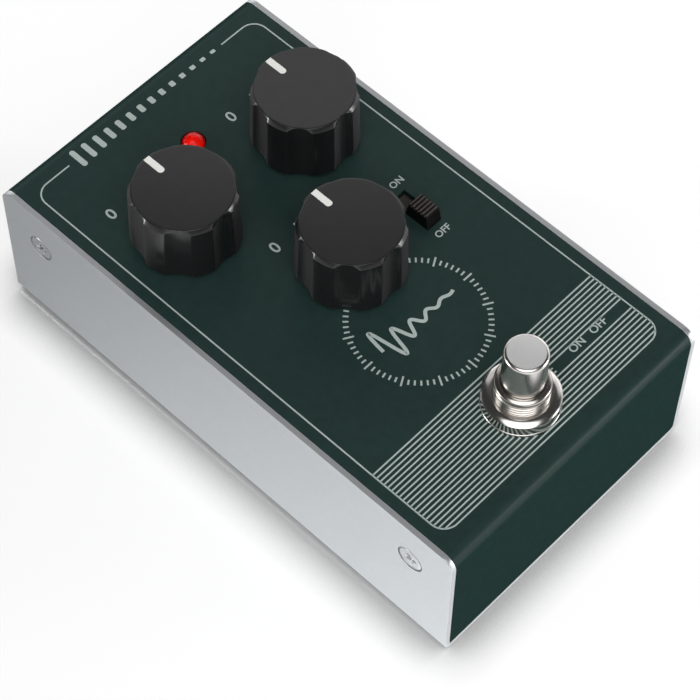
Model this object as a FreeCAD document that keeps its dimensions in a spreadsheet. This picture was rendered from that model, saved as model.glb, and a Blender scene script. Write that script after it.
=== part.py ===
"""Guitar delay pedal: folded case, three rotary knobs, slide switch, lamp and footswitch.

Millimetres. X to the right, Y to the rear, Z up. The feet rest on z = 0, and the origin is the
centre of the whole depth, jack nuts included.
"""
import FreeCAD, Part
import math
import os
import Sketcher

Vec = FreeCAD.Vector
HALF_TURN = 180.0

# Every size that can be set by itself, with what it measures.
DRIVING = (
    ("case_width", 74.0, "over both side plates"),
    ("case_depth", 129.6, "front wall to rear wall"),
    ("case_height", 37.3, "chassis underside to panel"),
    ("metal", 1.2, "case sheet"),
    ("chassis_bend", 2.0, "outer radius of the chassis folds"),
    ("cover_bend", 3.2, "outer radius of the cover folds"),
    ("cover_gap", 0.1, "cover to each side plate"),
    ("cover_lift", 0.15, "cover walls above the floor"),
    ("cover_corner_gap", 0.2, "cover's lower corners in the chassis folds"),
    ("flange_depth", 16.5, "cover side flange along the case"),
    ("flange_floor_gap", 3.0, "floor to flange"),
    ("flange_roof_gap", 3.0, "flange to the panel's inner face"),
    ("foot_radius", 6.0, "rubber foot"),
    ("foot_height", 0.9, "rubber foot"),
    ("foot_inset", 9.5, "foot centre from the case edges"),
    ("screw_inset", 10.9, "case screw from front or rear face"),
    ("screw_rise", 26.05, "case screw above the underside"),
    ("screw_radius", 1.45, "M3 case screw"),
    ("screw_head_radius", 2.95, "countersunk head"),
    ("screw_length", 5.6, "case screw overall"),
    ("screw_play", 0.2, "head in its countersink"),
    ("screw_sunk", 0.05, "head below the side plate's face"),
    ("clinch_across", 5.5, "press nut on the flange"),
    ("clinch_length", 2.0, "press nut on the flange"),
    ("flange_hole_play", 0.3, "screw in the flange"),
    ("press_gap", 0.02, "pressed fits"),
    ("thread_gap", 0.05, "nut on its thread"),
    ("running_gap", 0.05, "turning and sliding fits"),
    ("panel_gap", 0.1, "bushings in the panel"),
    ("board_metal", 1.6, "main circuit board"),
    ("board_side_gap", 5.0, "board to the side plates, clear of the press nuts"),
    ("board_end_gap", 1.0, "board to the rear wall"),
    ("board_front_gap", 1.4, "board to the footswitch frame"),
    ("knob_spacing", 35.66, "between the two rear knobs"),
    ("rear_knob_inset", 36.63, "rear knobs from the rear face"),
    ("middle_knob_inset", 67.23, "middle knob from the rear face"),
    ("knob_height", 15.41, "knob skirt to top"),
    ("knob_lift", 1.15, "knob skirt above the panel"),
    ("knob_foot_radius", 11.91, "skirt foot"),
    ("knob_draft", 0.36, "skirt foot beyond the shoulder"),
    ("knob_chamfer_width", 0.7, "top chamfer"),
    ("knob_chamfer_height", 0.96, "top chamfer"),
    ("knob_wall", 1.05, "skirt wall behind a flute"),
    ("knob_top_skin", 2.2, "cavity roof to top"),
    ("knob_hub_wall", 1.6, "hub round the shaft"),
    ("knob_hub_gap", 0.4, "hub above the bushing"),
    ("knob_bore_spare", 0.2, "knob bore beyond the shaft"),
    ("knob_cavity_draft", 0.2, "cavity wider at the skirt"),
    ("flute_count", 7, "flutes round the knob"),
    ("flute_depth_top", 0.83, "flute in the shoulder"),
    ("flute_depth_foot", 0.96, "flute in the skirt foot"),
    ("flute_radius", 7.5, "flute cutter at the top"),
    ("pointer_width", 1.65, "pointer groove"),
    ("pointer_start", 6.0, "groove's inner end from the axis"),
    ("pointer_depth", 0.3, "groove"),
    ("pot_width", 9.6, "square body of a rotary control"),
    ("pot_base_height", 3.2, "moulded base"),
    ("pot_cover_height", 3.7, "metal cover"),
    ("pot_bushing_wall", 0.5, "M7 bushing round the shaft"),
    ("pot_bushing_height", 7.0, "bushing above the cover"),
    ("pot_shaft_radius", 3.0, "6 mm shaft"),
    ("pot_shaft_flat", 1.5, "axis to the flat"),
    ("pot_flat_length", 7.6, "flatted end"),
    ("pot_shaft_rise", 13.4, "shaft above the panel"),
    ("pot_disc_brim", 1.0, "wiper disc beyond the shaft"),
    ("pot_disc_height", 1.5, "wiper disc"),
    ("pot_disc_play", 0.3, "all round the disc"),
    ("pot_pin_pitch", 2.5, "solder pins"),
    ("pot_pin_inset", 0.9, "solder pins from the base's front face"),
    ("pot_nut_wall", 1.5, "bushing to the nut's flats"),
    ("pot_nut_height", 2.0, "nut"),
    ("pot_washer_height", 0.5, "washer"),
    ("pot_washer_brim", 2.0, "washer beyond the bushing"),
    ("lamp_inset", 20.5, "lamp from the rear face"),
    ("lamp_radius", 2.7, "domed lens"),
    ("lamp_dome_drop", 1.0, "dome centre under the panel's top"),
    ("lamp_flange_brim", 0.5, "lens flange"),
    ("lamp_flange_height", 1.0, "lens flange"),
    ("lamp_spacer_height", 1.6, "stand-off"),
    ("lamp_leg_pitch", 2.54, "between the legs"),
    ("lamp_leg_width", 0.5, "square leg"),
    ("slot_x", 19.95, "slide switch from the middle"),
    ("slot_inset", 67.09, "slot centre from the rear face"),
    ("slot_length", 10.8, "panel slot"),
    ("slot_width", 4.3, "panel slot"),
    ("handle_length", 6.4, "slider at the panel"),
    ("handle_side_gap", 0.075, "slider in the slot"),
    ("handle_end_gap", 0.1, "slider to the slot's ends"),
    ("handle_rise", 3.8, "slider above the panel"),
    ("handle_top_length", 4.9, "slider top"),
    ("handle_top_width", 3.8, "slider top"),
    ("ridge_pitch", 0.9, "slider ridges"),
    ("ridge_depth", 0.3, "grooves between the ridges"),
    ("can_side_gap", 0.5, "slider plate to the can's walls"),
    ("can_metal", 0.5, "can sheet"),
    ("can_roof_gap", 0.1, "can to the panel"),
    ("slider_plate", 1.6, "slider plate in the can"),
    ("slider_cover", 0.2, "plate past the slot's ends at both stops"),
    ("slider_end_gap", 0.2, "plate to the can's ends at both stops"),
    ("slider_roof_gap", 0.2, "plate to the can's roof"),
    ("ridge_grooves", 5, "grooves across the slider's top"),
    ("window_side_gap", 0.35, "can's window beyond the slot's sides"),
    ("window_end_gap", 0.4, "can's window beyond the slot's ends"),
    ("wafer_height", 1.6, "moulded floor of the slide switch"),
    ("wafer_gap", 0.1, "moulded floor in the can"),
    ("pad_width", 1.8, "slide switch pads"),
    ("pad_length", 2.6, "slide switch pads"),
    ("pad_height", 0.3, "slide switch pads"),
    ("clip_gap", 0.1, "bridging clip over the pads"),
    ("clip_metal", 0.4, "bridging clip"),
    ("clip_overlap", 0.5, "clip past the middle of each pad"),
    ("clip_holder_height", 1.0, "slider's foot over the clip"),
    ("clip_holder_width", 4.0, "slider's foot over the clip"),
    ("slider_plate_brim", 1.15, "slider plate beyond the slot's sides"),
    ("footswitch_inset", 15.34, "footswitch from the front face"),
    ("barrel_radius", 5.9, "M12 barrel"),
    ("barrel_rise", 8.7, "barrel above the panel"),
    ("barrel_chamfer", 1.0, "height of the rim chamfer"),
    ("barrel_rim", 0.2, "flat left inside the chamfer"),
    ("plunger_radius", 4.65, "push cap"),
    ("plunger_rise", 18.81, "cap top above the panel"),
    ("plunger_rounding", 0.8, "cap edge"),
    ("plunger_travel", 2.5, "press"),
    ("plunger_flange_brim", 1.03, "stop flange"),
    ("plunger_flange_height", 1.6, "stop flange"),
    ("plunger_rest_gap", 0.3, "stop flange to the barrel foot"),
    ("switch_nut_wall", 1.1, "barrel to the flats of the nut under the panel"),
    ("top_nut_height", 3.3, "round dress nut"),
    ("top_nut_brim", 2.38, "dress nut beyond the barrel"),
    ("top_nut_face_wall", 0.9, "barrel to the bevel's upper edge"),
    ("top_nut_bevel_height", 1.0, "cone round the dress nut's face"),
    ("top_washer_brim", 2.52, "round washer beyond the barrel"),
    ("top_washer_height", 0.8, "round washer"),
    ("inner_nut_height", 2.6, "nut under the panel"),
    ("lock_washer_height", 0.6, "washer under the panel"),
    ("lock_washer_brim", 2.7, "washer under the panel, beyond the barrel"),
    ("switch_frame_metal", 1.0, "frame sheet"),
    ("switch_frame_height", 11.8, "frame cheeks"),
    ("switch_base_height", 14.8, "moulded base"),
    ("switch_base_floor", 5.6, "floor of the moulded base"),
    ("switch_chamber_gap", 0.5, "stop flange in the bore of the moulded base"),
    ("switch_base_wall", 1.6, "moulded base outside its bore"),
    ("switch_frame_gap", 0.1, "moulded base in the frame"),
    ("switch_base_inset", 0.3, "moulded base inside the frame's open ends"),
    ("switch_spring_inset", 0.62, "coil's outside inside the cap's radius"),
    ("switch_wire_radius", 0.35, "spring wire"),
    ("switch_spring_turns", 4.0, "coils"),
    ("switch_spring_end_gap", 0.05, "coil to what it presses on"),
    ("spigot_gap", 0.25, "spigot in the coil"),
    ("spigot_height", 1.2, "spigot under the stop flange"),
    ("switch_wire_flats", 6, "the hidden wire's round section in flats"),
    ("lug_pitch_x", 4.8, "solder lugs"),
    ("lug_pitch_y", 5.2, "solder lugs"),
    ("lug_width", 2.0, "solder lug"),
    ("lug_metal", 0.8, "solder lug"),
    ("lug_length", 5.2, "solder lug"),
    ("lug_stub", 0.6, "lug below the small board"),
    ("small_board_width", 20.0, "board on the lugs"),
    ("small_board_tail", 15.0, "board behind the switch axis"),
    ("small_board_metal", 1.6, "board on the lugs"),
    ("socket_width", 14.0, "ribbon socket"),
    ("socket_depth", 3.4, "ribbon socket"),
    ("socket_height", 4.0, "ribbon socket"),
    ("socket_edge", 0.8, "lower socket from the small board's edge"),
    ("socket_setback", 8.0, "upper socket from the board's front edge"),
    ("ribbon_width", 11.4, "ribbon cable"),
    ("ribbon_metal", 0.9, "ribbon cable thickness"),
    ("ribbon_bend", 2.2, "inner radius of its bends"),
    ("jack_inset", 15.0, "jack from the side plate's face"),
    ("jack_width", 15.8, "jack body"),
    ("jack_height", 16.4, "jack body"),
    ("jack_length", 29.0, "jack body behind the rear wall"),
    ("jack_bore_radius", 3.2, "for a 6.35 mm plug"),
    ("jack_bore_length", 30.6, "bore"),
    ("jack_bushing_wall", 1.3, "M9 bushing round the bore"),
    ("jack_washer_height", 0.4, "washer"),
    ("jack_washer_brim", 1.9, "washer beyond the bushing"),
    ("jack_nut_height", 2.0, "nut"),
    ("jack_nut_wall", 1.0, "bushing to the nut's flats"),
    ("jack_nut_proud", 0.2, "nut beyond the bushing"),
    ("blade_metal", 0.6, "jack contact blade"),
    ("blade_width", 3.0, "jack contact blade"),
    ("blade_bore_gap", 0.2, "blade to the jack's bore"),
    ("blade_drop", 1.5, "blade below the jack's axis"),
    ("blade_roof", 0.6, "blade below the board"),
    ("blade_tail", 1.0, "blade's solder tail"),
    ("tip_blade_depth", 24.5, "tip blade from the rear wall"),
    ("sleeve_blade_depth", 5.0, "sleeve blade from the rear wall"),
    ("power_wall", 1.3, "power socket outside its bore"),
    ("power_length", 14.2, "power socket"),
    ("power_axis_drop", 6.5, "socket axis below the board"),
    ("power_nose_wall", 1.2, "nose in the rear wall"),
    ("power_bore_radius", 3.2, "for a 5.5 mm plug"),
    ("power_bore_length", 10.0, "bore"),
    ("power_pin_radius", 1.0, "centre pin"),
    ("power_root_step", 0.3, "pin's thicker root in the moulding"),
    ("power_pin_setback", 0.8, "pin end inside the mouth"),
    ("power_blade_width", 2.0, "spring blade under the bore"),
    ("power_blade_gap", 0.1, "blade to the bore"),
    ("power_blade_play", 0.2, "blade in its channel"),
    ("power_blade_setback", 4.0, "blade end from the rear wall"),
    ("pin_gap", 0.15, "solder pins in their holes"),
    ("pin_width", 0.9, "solder pins"),
    ("pin_metal", 0.5, "solder pins"),
    ("pin_stub", 1.5, "pins beyond the board"),
    ("part_gap", 1.5, "between parts on the board"),
    ("processor_width", 12.0, "square processor"),
    ("processor_height", 1.4, "square processor"),
    ("converter_width", 5.3, "converter chips"),
    ("converter_depth", 7.6, "converter chips"),
    ("converter_height", 1.7, "converter chips"),
    ("relay_width", 9.0, "bypass relay"),
    ("relay_depth", 14.0, "bypass relay"),
    ("relay_height", 9.0, "bypass relay"),
    ("regulator_width", 6.5, "voltage regulator"),
    ("regulator_height", 2.3, "voltage regulator"),
    ("crystal_width", 4.6, "crystal can"),
    ("crystal_depth", 11.0, "crystal can"),
    ("crystal_height", 3.5, "crystal can"),
    ("capacitor_radius", 3.15, "capacitor cans"),
    ("capacitor_height", 7.0, "capacitor cans"),
)


class Size:
    """A number that keeps the sheet formula it comes from."""

    def __init__(self, value, text):
        self.value = value
        self.text = text

    def combine(self, sign, other, value, swapped=False):
        left, right = (other, self) if swapped else (self, other)
        return Size(value, f"({left.text} {sign} {right.text})")

    def __add__(self, other):
        other = size(other)
        return self.combine("+", other, self.value + other.value)

    def __radd__(self, other):
        return size(other) + self

    def __sub__(self, other):
        other = size(other)
        return self.combine("-", other, self.value - other.value)

    def __rsub__(self, other):
        return size(other) - self

    def __mul__(self, other):
        other = size(other)
        return self.combine("*", other, self.value * other.value)

    def __rmul__(self, other):
        return size(other) * self

    def __truediv__(self, other):
        other = size(other)
        return self.combine("/", other, self.value / other.value)

    def __neg__(self):
        return Size(-self.value, f"(0 - {self.text})")


def size(thing):
    """Plain numbers become sizes too."""
    if isinstance(thing, Size):
        return thing
    number = float(thing)
    return Size(number, f"({number:.9g})")


doc = FreeCAD.newDocument("delay_pedal")
sheet = doc.addObject("Spreadsheet::Sheet", "sizes")


class Dimensions:
    """The sheet's cells by name."""


dim = Dimensions()
for row, (alias, number, note) in enumerate(DRIVING, start=1):
    sheet.set(f"A{row}", note)
    sheet.set(f"B{row}", str(number))
    sheet.setAlias(f"B{row}", alias)
doc.recompute()
for alias, _, _ in DRIVING:
    setattr(dim, alias, Size(sheet.get(alias), f"sizes.{alias}"))


# Binding objects to the sheet

def bind(item, **values):
    """Set properties to sizes and tie them to the sheet."""
    for name, value in values.items():
        value = size(value)
        setattr(item, name, value.value)
        item.setExpression(name, value.text)
    return item


def bind_count(item, name, value):
    """The same for a whole number."""
    setattr(item, name, int(round(value.value)))
    item.setExpression(name, value.text)


def place(item, x=0, y=0, z=0, turn=None):
    """Put an object at a bound place, with a fixed turn."""
    x, y, z = size(x), size(y), size(z)
    item.Placement = FreeCAD.Placement(Vec(x.value, y.value, z.value), turn or FreeCAD.Rotation())
    for letter, value in (("x", x), ("y", y), ("z", z)):
        item.setExpression(f"Placement.Base.{letter}", value.text)
    return item


def span(centre, width):
    """Low and high end of a width about a centre."""
    return (centre - width / 2, centre + width / 2)


# Solids made of primitives

def block(x, y, z):
    """A box between three (low, high) pairs."""
    item = doc.addObject("Part::Box", "block")
    bind(item, Length=size(x[1]) - x[0], Width=size(y[1]) - y[0], Height=size(z[1]) - z[0])
    return place(item, x[0], y[0], z[0])


TURNS = {
    "x": FreeCAD.Rotation(Vec(0, 1, 0), 90),
    "y": FreeCAD.Rotation(Vec(1, 0, 0), -90),
    "z": FreeCAD.Rotation(),
}


def along(x, y, z):
    """Which of three places is a (low, high) pair: its axis, start and length."""
    places = {"x": x, "y": y, "z": z}
    axis = next(name for name, value in places.items() if isinstance(value, tuple))
    low, high = places[axis]
    places[axis] = low
    return axis, places, size(high) - low


def rod(radius, x, y, z):
    """A cylinder; the place given as a pair is its length."""
    axis, start, length = along(x, y, z)
    item = doc.addObject("Part::Cylinder", "rod")
    bind(item, Radius=radius, Height=length)
    return place(item, start["x"], start["y"], start["z"], TURNS[axis])


def taper(radius_low, radius_high, x, y, z):
    """A cone frustum; the place given as a pair is its length."""
    axis, start, length = along(x, y, z)
    item = doc.addObject("Part::Cone", "taper")
    bind(item, Radius1=radius_low, Radius2=radius_high, Height=length)
    return place(item, start["x"], start["y"], start["z"], TURNS[axis])


def prism(across, x, y, z, sides=12):
    """A regular prism by its width across flats; with twelve it stands for a hidden round piece."""
    axis, start, length = along(x, y, z)
    item = doc.addObject("Part::Prism", "prism")
    item.Polygon = sides
    bind(item, Circumradius=across / (2 * math.cos(math.pi / sides)), Height=length)
    return place(item, start["x"], start["y"], start["z"], TURNS[axis])


def hexagon(across, x, y, z):
    return prism(across, x, y, z, sides=6)


def join(*pieces):
    item = doc.addObject("Part::MultiFuse", "join")
    item.Shapes = list(pieces)
    item.Refine = True
    return item


def cut(base, *tools):
    item = doc.addObject("Part::Cut", "cut")
    item.Base = base
    item.Tool = tools[0] if len(tools) == 1 else join(*tools)
    item.Refine = True
    return item


def group(*pieces):
    """Separate solids in one piece list."""
    item = doc.addObject("Part::Compound", "group")
    item.Links = list(pieces)
    return item


nodes = []


def node(name, item):
    """Name a finished sub-part."""
    item.Label = name
    nodes.append(item)
    return item


# Bodies made of sketches and features

def new_body(name, x=0, y=0, z=0):
    return node(name, place(doc.addObject("PartDesign::Body", name), x, y, z))


def origin_part(body, role):
    return next(item for item in body.Origin.OriginFeatures if item.Role == role)


def sketch(body, role, offset=0):
    """A sketch on one of the body's own planes, moved along its normal."""
    item = body.newObject("Sketcher::SketchObject", f"{body.Name}_sketch")
    item.AttachmentSupport = [(origin_part(body, role), "")]
    item.MapMode = "FlatFace"
    offset = size(offset)
    item.AttachmentOffset = FreeCAD.Placement(Vec(0, 0, offset.value), FreeCAD.Rotation())
    item.setExpression("AttachmentOffset.Base.z", offset.text)
    return item


def pin_point(item, curve, end, x=None, y=None):
    """Hold one point of a sketch at a bound distance from the sketch's origin."""
    for name, value, axis in (("DistanceX", x, -2), ("DistanceY", y, -1)):
        if value is None:
            continue
        value = size(value)
        if abs(value.value) < 1e-9:
            item.addConstraint(Sketcher.Constraint("PointOnObject", curve, end, axis))
            continue
        made = item.addConstraint(Sketcher.Constraint(name, -1, 1, curve, end, value.value))
        item.setExpression(f"Constraints[{made}]", value.text)


def hold_radius(item, curve, radius):
    made = item.addConstraint(Sketcher.Constraint("Radius", curve, radius.value))
    item.setExpression(f"Constraints[{made}]", radius.text)


def draw_circle(item, x, y, radius):
    x, y, radius = size(x), size(y), size(radius)
    curve = item.addGeometry(Part.Circle(Vec(x.value, y.value, 0), Vec(0, 0, 1), radius.value), False)
    pin_point(item, curve, 3, x, y)
    hold_radius(item, curve, radius)


def draw_polygon(item, points):
    points = [(size(x), size(y)) for x, y in points]
    ends = [Vec(x.value, y.value, 0) for x, y in points]
    count = len(points)
    first = item.GeometryCount
    for i in range(count):
        item.addGeometry(Part.LineSegment(ends[i], ends[(i + 1) % count]), False)
    for i, (x, y) in enumerate(points):
        item.addConstraint(Sketcher.Constraint("Coincident", first + i, 2, first + (i + 1) % count, 1))
        pin_point(item, first + i, 1, x, y)


def draw_path(item, corners):
    """A closed path of level and upright edges; a third value rounds that corner."""
    corners = [(size(c[0]), size(c[1]), size(c[2]) if len(c) > 2 else None) for c in corners]
    count = len(corners)
    spots = [Vec(x.value, y.value, 0) for x, y, _ in corners]
    reach = [radius.value if radius else 0.0 for _, _, radius in corners]

    def toward(i, j):
        """The point on the way from corner i to corner j where the rounding ends."""
        way = (spots[j] - spots[i]).normalize()
        return spots[i] + way * reach[i]

    first = item.GeometryCount
    for i in range(count):
        j = (i + 1) % count
        item.addGeometry(Part.LineSegment(toward(i, j), toward(j, i)), False)
        level = abs(spots[i].y - spots[j].y) < 1e-9
        item.addConstraint(Sketcher.Constraint("Horizontal" if level else "Vertical", first + i))
        if level:
            pin_point(item, first + i, 1, y=corners[i][1])
        else:
            pin_point(item, first + i, 1, x=corners[i][0])
    for i in range(count):
        before = first + (i - 1) % count
        after = first + i
        if not corners[i][2]:
            item.addConstraint(Sketcher.Constraint("Coincident", before, 2, after, 1))
            continue
        start = toward(i, (i - 1) % count)
        end = toward(i, (i + 1) % count)
        centre = start + end - spots[i]
        angles = [math.atan2(p.y - centre.y, p.x - centre.x) for p in (start, end)]
        left_turn = (start - centre).cross(end - centre).z > 0
        if not left_turn:
            angles.reverse()
        if angles[1] < angles[0]:
            angles[1] += 2 * math.pi
        circle = Part.Circle(centre, Vec(0, 0, 1), reach[i])
        arc = item.addGeometry(Part.ArcOfCircle(circle, *angles), False)
        tail, head = (1, 2) if left_turn else (2, 1)
        item.addConstraint(Sketcher.Constraint("Tangent", before, 2, arc, tail))
        item.addConstraint(Sketcher.Constraint("Tangent", arc, head, after, 1))
        hold_radius(item, arc, corners[i][2])


def draw_rectangle(item, x, y, radius=None):
    corners = [(x[0], y[0]), (x[1], y[0]), (x[1], y[1]), (x[0], y[1])]
    draw_path(item, [c + (radius,) for c in corners] if radius else corners)


def draw_flatted_circle(item, radius, flat):
    """A circle about the origin cut by a level chord below it."""
    radius, flat = size(radius), size(flat)
    half = math.acos(flat.value / radius.value)
    circle = Part.Circle(Vec(), Vec(0, 0, 1), radius.value)
    arc = item.addGeometry(Part.ArcOfCircle(circle, half - math.pi / 2, 1.5 * math.pi - half), False)
    ends = [Vec(s * math.sin(half), -math.cos(half), 0) * radius.value for s in (-1, 1)]
    chord = item.addGeometry(Part.LineSegment(*ends), False)
    item.addConstraint(Sketcher.Constraint("Coincident", arc, 3, -1, 1))
    item.addConstraint(Sketcher.Constraint("Coincident", arc, 2, chord, 1))
    item.addConstraint(Sketcher.Constraint("Coincident", arc, 1, chord, 2))
    item.addConstraint(Sketcher.Constraint("Horizontal", chord))
    hold_radius(item, arc, radius)
    pin_point(item, chord, 1, y=-flat)


def pad(body, profile, length, middle=False):
    item = body.newObject("PartDesign::Pad", f"{body.Name}_pad")
    item.Profile = profile
    item.Midplane = middle
    return bind(item, Length=length)


def body_volume(body):
    doc.recompute()
    return body.Shape.Volume


def cuts_away(body, before):
    if body_volume(body) > before - 1e-6:
        raise RuntimeError(f"a cut in {body.Label} removes nothing")


def pocket(body, profile, length, forward=False, middle=False):
    """Cut a sketch backward from its plane, or forward along the plane's normal."""
    before = body_volume(body)
    item = body.newObject("PartDesign::Pocket", f"{body.Name}_pocket")
    item.Profile = profile
    item.Reversed = forward
    item.Midplane = middle
    bind(item, Length=length)
    cuts_away(body, before)
    return item


def turned(body, profile, kind="Revolution"):
    """Revolve a sketch of the XZ plane about the body's own Z axis."""
    item = body.newObject(f"PartDesign::{kind}", f"{body.Name}_turned")
    item.Profile = profile
    item.ReferenceAxis = (origin_part(body, "Z_Axis"), [""])
    item.Angle = 2 * HALF_TURN
    return item


def edges_where(shape, test):
    """Names of the edges whose middle and direction pass a test."""
    found = []
    for i, edge in enumerate(shape.Edges, start=1):
        middle = edge.CenterOfMass
        ends = [v.Point for v in edge.Vertexes]
        if len(ends) == 2 and test(middle, ends[1] - ends[0]):
            found.append(f"Edge{i}")
    return found


def fillet(body, test, radius):
    doc.recompute()
    base = body.Tip
    names = edges_where(base.Shape, test)
    if not names:
        raise RuntimeError(f"no edge to round in {body.Label}")
    item = body.newObject("PartDesign::Fillet", f"{body.Name}_fillet")
    item.Base = (base, names)
    return bind(item, Radius=radius)


# Heights and places worked out from the driving sizes

rear_proud = dim.jack_washer_height + dim.jack_nut_height
front = -(dim.case_depth + rear_proud) / 2
rear = front + dim.case_depth
rear_inside = rear - dim.metal
side = dim.case_width / 2
side_inside = side - dim.metal
cover_side = side_inside - dim.cover_gap
flange_inside = cover_side - dim.metal

underside = dim.foot_height
floor = underside + dim.metal
roof = underside + dim.case_height
roof_inside = roof - dim.metal

board_top = roof_inside - dim.pot_cover_height - dim.pot_base_height
board_low = board_top - dim.board_metal
board_side = side_inside - dim.board_side_gap
board_rear = rear_inside - dim.board_end_gap

# Radii that follow what they fit round

knob_shoulder = dim.knob_foot_radius - dim.knob_draft
knob_face = knob_shoulder - dim.knob_chamfer_width
flute_floor_top = knob_shoulder - dim.flute_depth_top
flute_floor_foot = dim.knob_foot_radius - dim.flute_depth_foot
pot_bushing = dim.pot_shaft_radius + dim.pot_bushing_wall
pot_disc = dim.pot_shaft_radius + dim.pot_disc_brim
lamp_flange = dim.lamp_radius + dim.lamp_flange_brim
plunger_flange = dim.plunger_radius + dim.plunger_flange_brim
switch_nut_across = 2 * (dim.barrel_radius + dim.switch_nut_wall)
switch_chamber = plunger_flange + dim.switch_chamber_gap
switch_frame_width = 2 * (switch_chamber + dim.switch_base_wall + dim.switch_frame_gap
                          + dim.switch_frame_metal)
spring_radius = dim.plunger_radius - dim.switch_spring_inset - dim.switch_wire_radius
jack_bushing = dim.jack_bore_radius + dim.jack_bushing_wall
power_nose = dim.power_bore_radius + dim.power_nose_wall

# Places of the controls and sockets

knob_x = dim.knob_spacing / 2
rear_knob_y = rear - dim.rear_knob_inset
middle_knob_y = rear - dim.middle_knob_inset
CONTROLS = (
    ("left", -knob_x, rear_knob_y),
    ("right", knob_x, rear_knob_y),
    ("center", size(0), middle_knob_y),
)
lamp_y = rear - dim.lamp_inset
slot_y = rear - dim.slot_inset
footswitch_y = front + dim.footswitch_inset
board_front = footswitch_y + switch_frame_width / 2 + dim.board_front_gap

jack_x = side - dim.jack_inset
jack_z = board_low - dim.jack_height / 2
JACKS = (("input", jack_x), ("output", -jack_x))
power_z = board_low - dim.power_axis_drop


# Case

flange_low = floor + dim.flange_floor_gap
flange_high = roof_inside - dim.flange_roof_gap
screw_z = underside + dim.screw_rise
SCREW_YS = (front + dim.screw_inset, rear - dim.screw_inset)
countersink = dim.screw_head_radius + dim.screw_play


def make_chassis():
    """A folded U: floor and two side plates, their upper corners rounded like the cover."""
    body = new_body("chassis_base")
    outline = sketch(body, "XZ_Plane", -rear)
    inner_bend = dim.chassis_bend - dim.metal
    draw_path(outline, [
        (-side, roof), (-side, underside, dim.chassis_bend), (side, underside, dim.chassis_bend),
        (side, roof), (side_inside, roof), (side_inside, floor, inner_bend),
        (-side_inside, floor, inner_bend), (-side_inside, roof),
    ])
    pad(body, outline, dim.case_depth)
    fillet(body, lambda middle, way: middle.z > roof.value - 1e-3 and abs(way.x) > 0.5, dim.cover_bend)
    for x, forward in ((side, False), (-side, True)):
        # each countersink tapers by its own depth, a 90 degree cone
        seat = sketch(body, "YZ_Plane", x)
        for y in SCREW_YS:
            draw_circle(seat, y, screw_z, countersink)
        cone = pocket(body, seat, dim.metal, forward=forward)
        cone.TaperAngle = -45.0
        doc.recompute()
    return body


def make_cover():
    """A folded lid: front wall, panel, rear wall, and four flanges behind the side plates."""
    body = new_body("top_cover")
    outline = sketch(body, "YZ_Plane")
    lip = floor + dim.cover_lift
    inner_bend = dim.cover_bend - dim.metal
    draw_path(outline, [
        (front, lip), (front + dim.metal, lip), (front + dim.metal, roof_inside, inner_bend),
        (rear_inside, roof_inside, inner_bend), (rear_inside, lip), (rear, lip),
        (rear, roof, dim.cover_bend), (front, roof, dim.cover_bend),
    ])
    pad(body, outline, 2 * cover_side, middle=True)
    # the walls' lower corners follow the inside of the chassis folds
    fillet(body, lambda middle, way: middle.z < lip.value + 1e-3 and abs(way.y) > 0.5
           and abs(middle.x) > cover_side.value - 1e-3, dim.chassis_bend - dim.metal + dim.cover_corner_gap)

    flanges = sketch(body, "XY_Plane", flange_low)
    for x in ((-cover_side, -flange_inside), (flange_inside, cover_side)):
        draw_rectangle(flanges, x, (front, front + dim.flange_depth))
        draw_rectangle(flanges, x, (rear - dim.flange_depth, rear))
    pad(body, flanges, flange_high - flange_low)

    panel = sketch(body, "XY_Plane", roof)
    for _, x, y in CONTROLS:
        draw_circle(panel, x, y, pot_bushing + dim.panel_gap)
    draw_circle(panel, 0, lamp_y, dim.lamp_radius + dim.panel_gap)
    draw_circle(panel, 0, footswitch_y, dim.barrel_radius + dim.panel_gap)
    draw_rectangle(panel, span(dim.slot_x, dim.slot_width), span(slot_y, dim.slot_length))
    pocket(body, panel, 2 * dim.metal)

    back = sketch(body, "XZ_Plane", -rear)
    for _, x in JACKS:
        draw_circle(back, x, jack_z, jack_bushing + dim.panel_gap)
    draw_circle(back, 0, power_z, power_nose + dim.panel_gap)
    pocket(body, back, 2 * dim.metal, forward=True)

    sides = sketch(body, "YZ_Plane")
    for y in SCREW_YS:
        draw_circle(sides, y, screw_z, dim.screw_radius + dim.flange_hole_play)
    pocket(body, sides, dim.case_width, middle=True)
    return body


def make_case_fasteners():
    """Countersunk screws through the side plates into hexagonal press nuts behind the flanges."""
    screws = []
    nuts = []
    head_face = side - dim.screw_sunk
    head_length = dim.screw_head_radius - dim.screw_radius
    shank_length = dim.screw_length - head_length
    for turn in (-1, 1):
        # a left-hand place is the right-hand one mirrored, low end first
        def across(low, high):
            return (low, high) if turn > 0 else (-high, -low)

        radii = (dim.screw_radius, dim.screw_head_radius)[::turn]
        for y in SCREW_YS:
            neck = head_face - head_length
            shank = rod(dim.screw_radius, across(neck - shank_length, neck), y, screw_z)
            head = taper(*radii, across(neck, head_face), y, screw_z)
            screws.append(join(shank, head))
            reach = across(flange_inside - dim.clinch_length, flange_inside)
            hollow = across(flange_inside - 2 * dim.clinch_length, side)
            bore = rod(dim.screw_radius + dim.thread_gap, hollow, y, screw_z)
            nuts.append(cut(hexagon(dim.clinch_across, reach, y, screw_z), bore))
    node("case_screws", group(*screws))
    node("clinch_nuts", group(*nuts))


def make_feet():
    feet = []
    for x in (dim.foot_inset - side, side - dim.foot_inset):
        for y in (front + dim.foot_inset, rear - dim.foot_inset):
            feet.append(rod(dim.foot_radius, x, y, (size(0), dim.foot_height)))
    node("rubber_feet", group(*feet))


# Knobs and the rotary controls under them

knob_low = roof + dim.knob_lift
knob_top = knob_low + dim.knob_height
shaft_top = roof + dim.pot_shaft_rise
bushing_top = roof_inside + dim.pot_bushing_height


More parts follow.
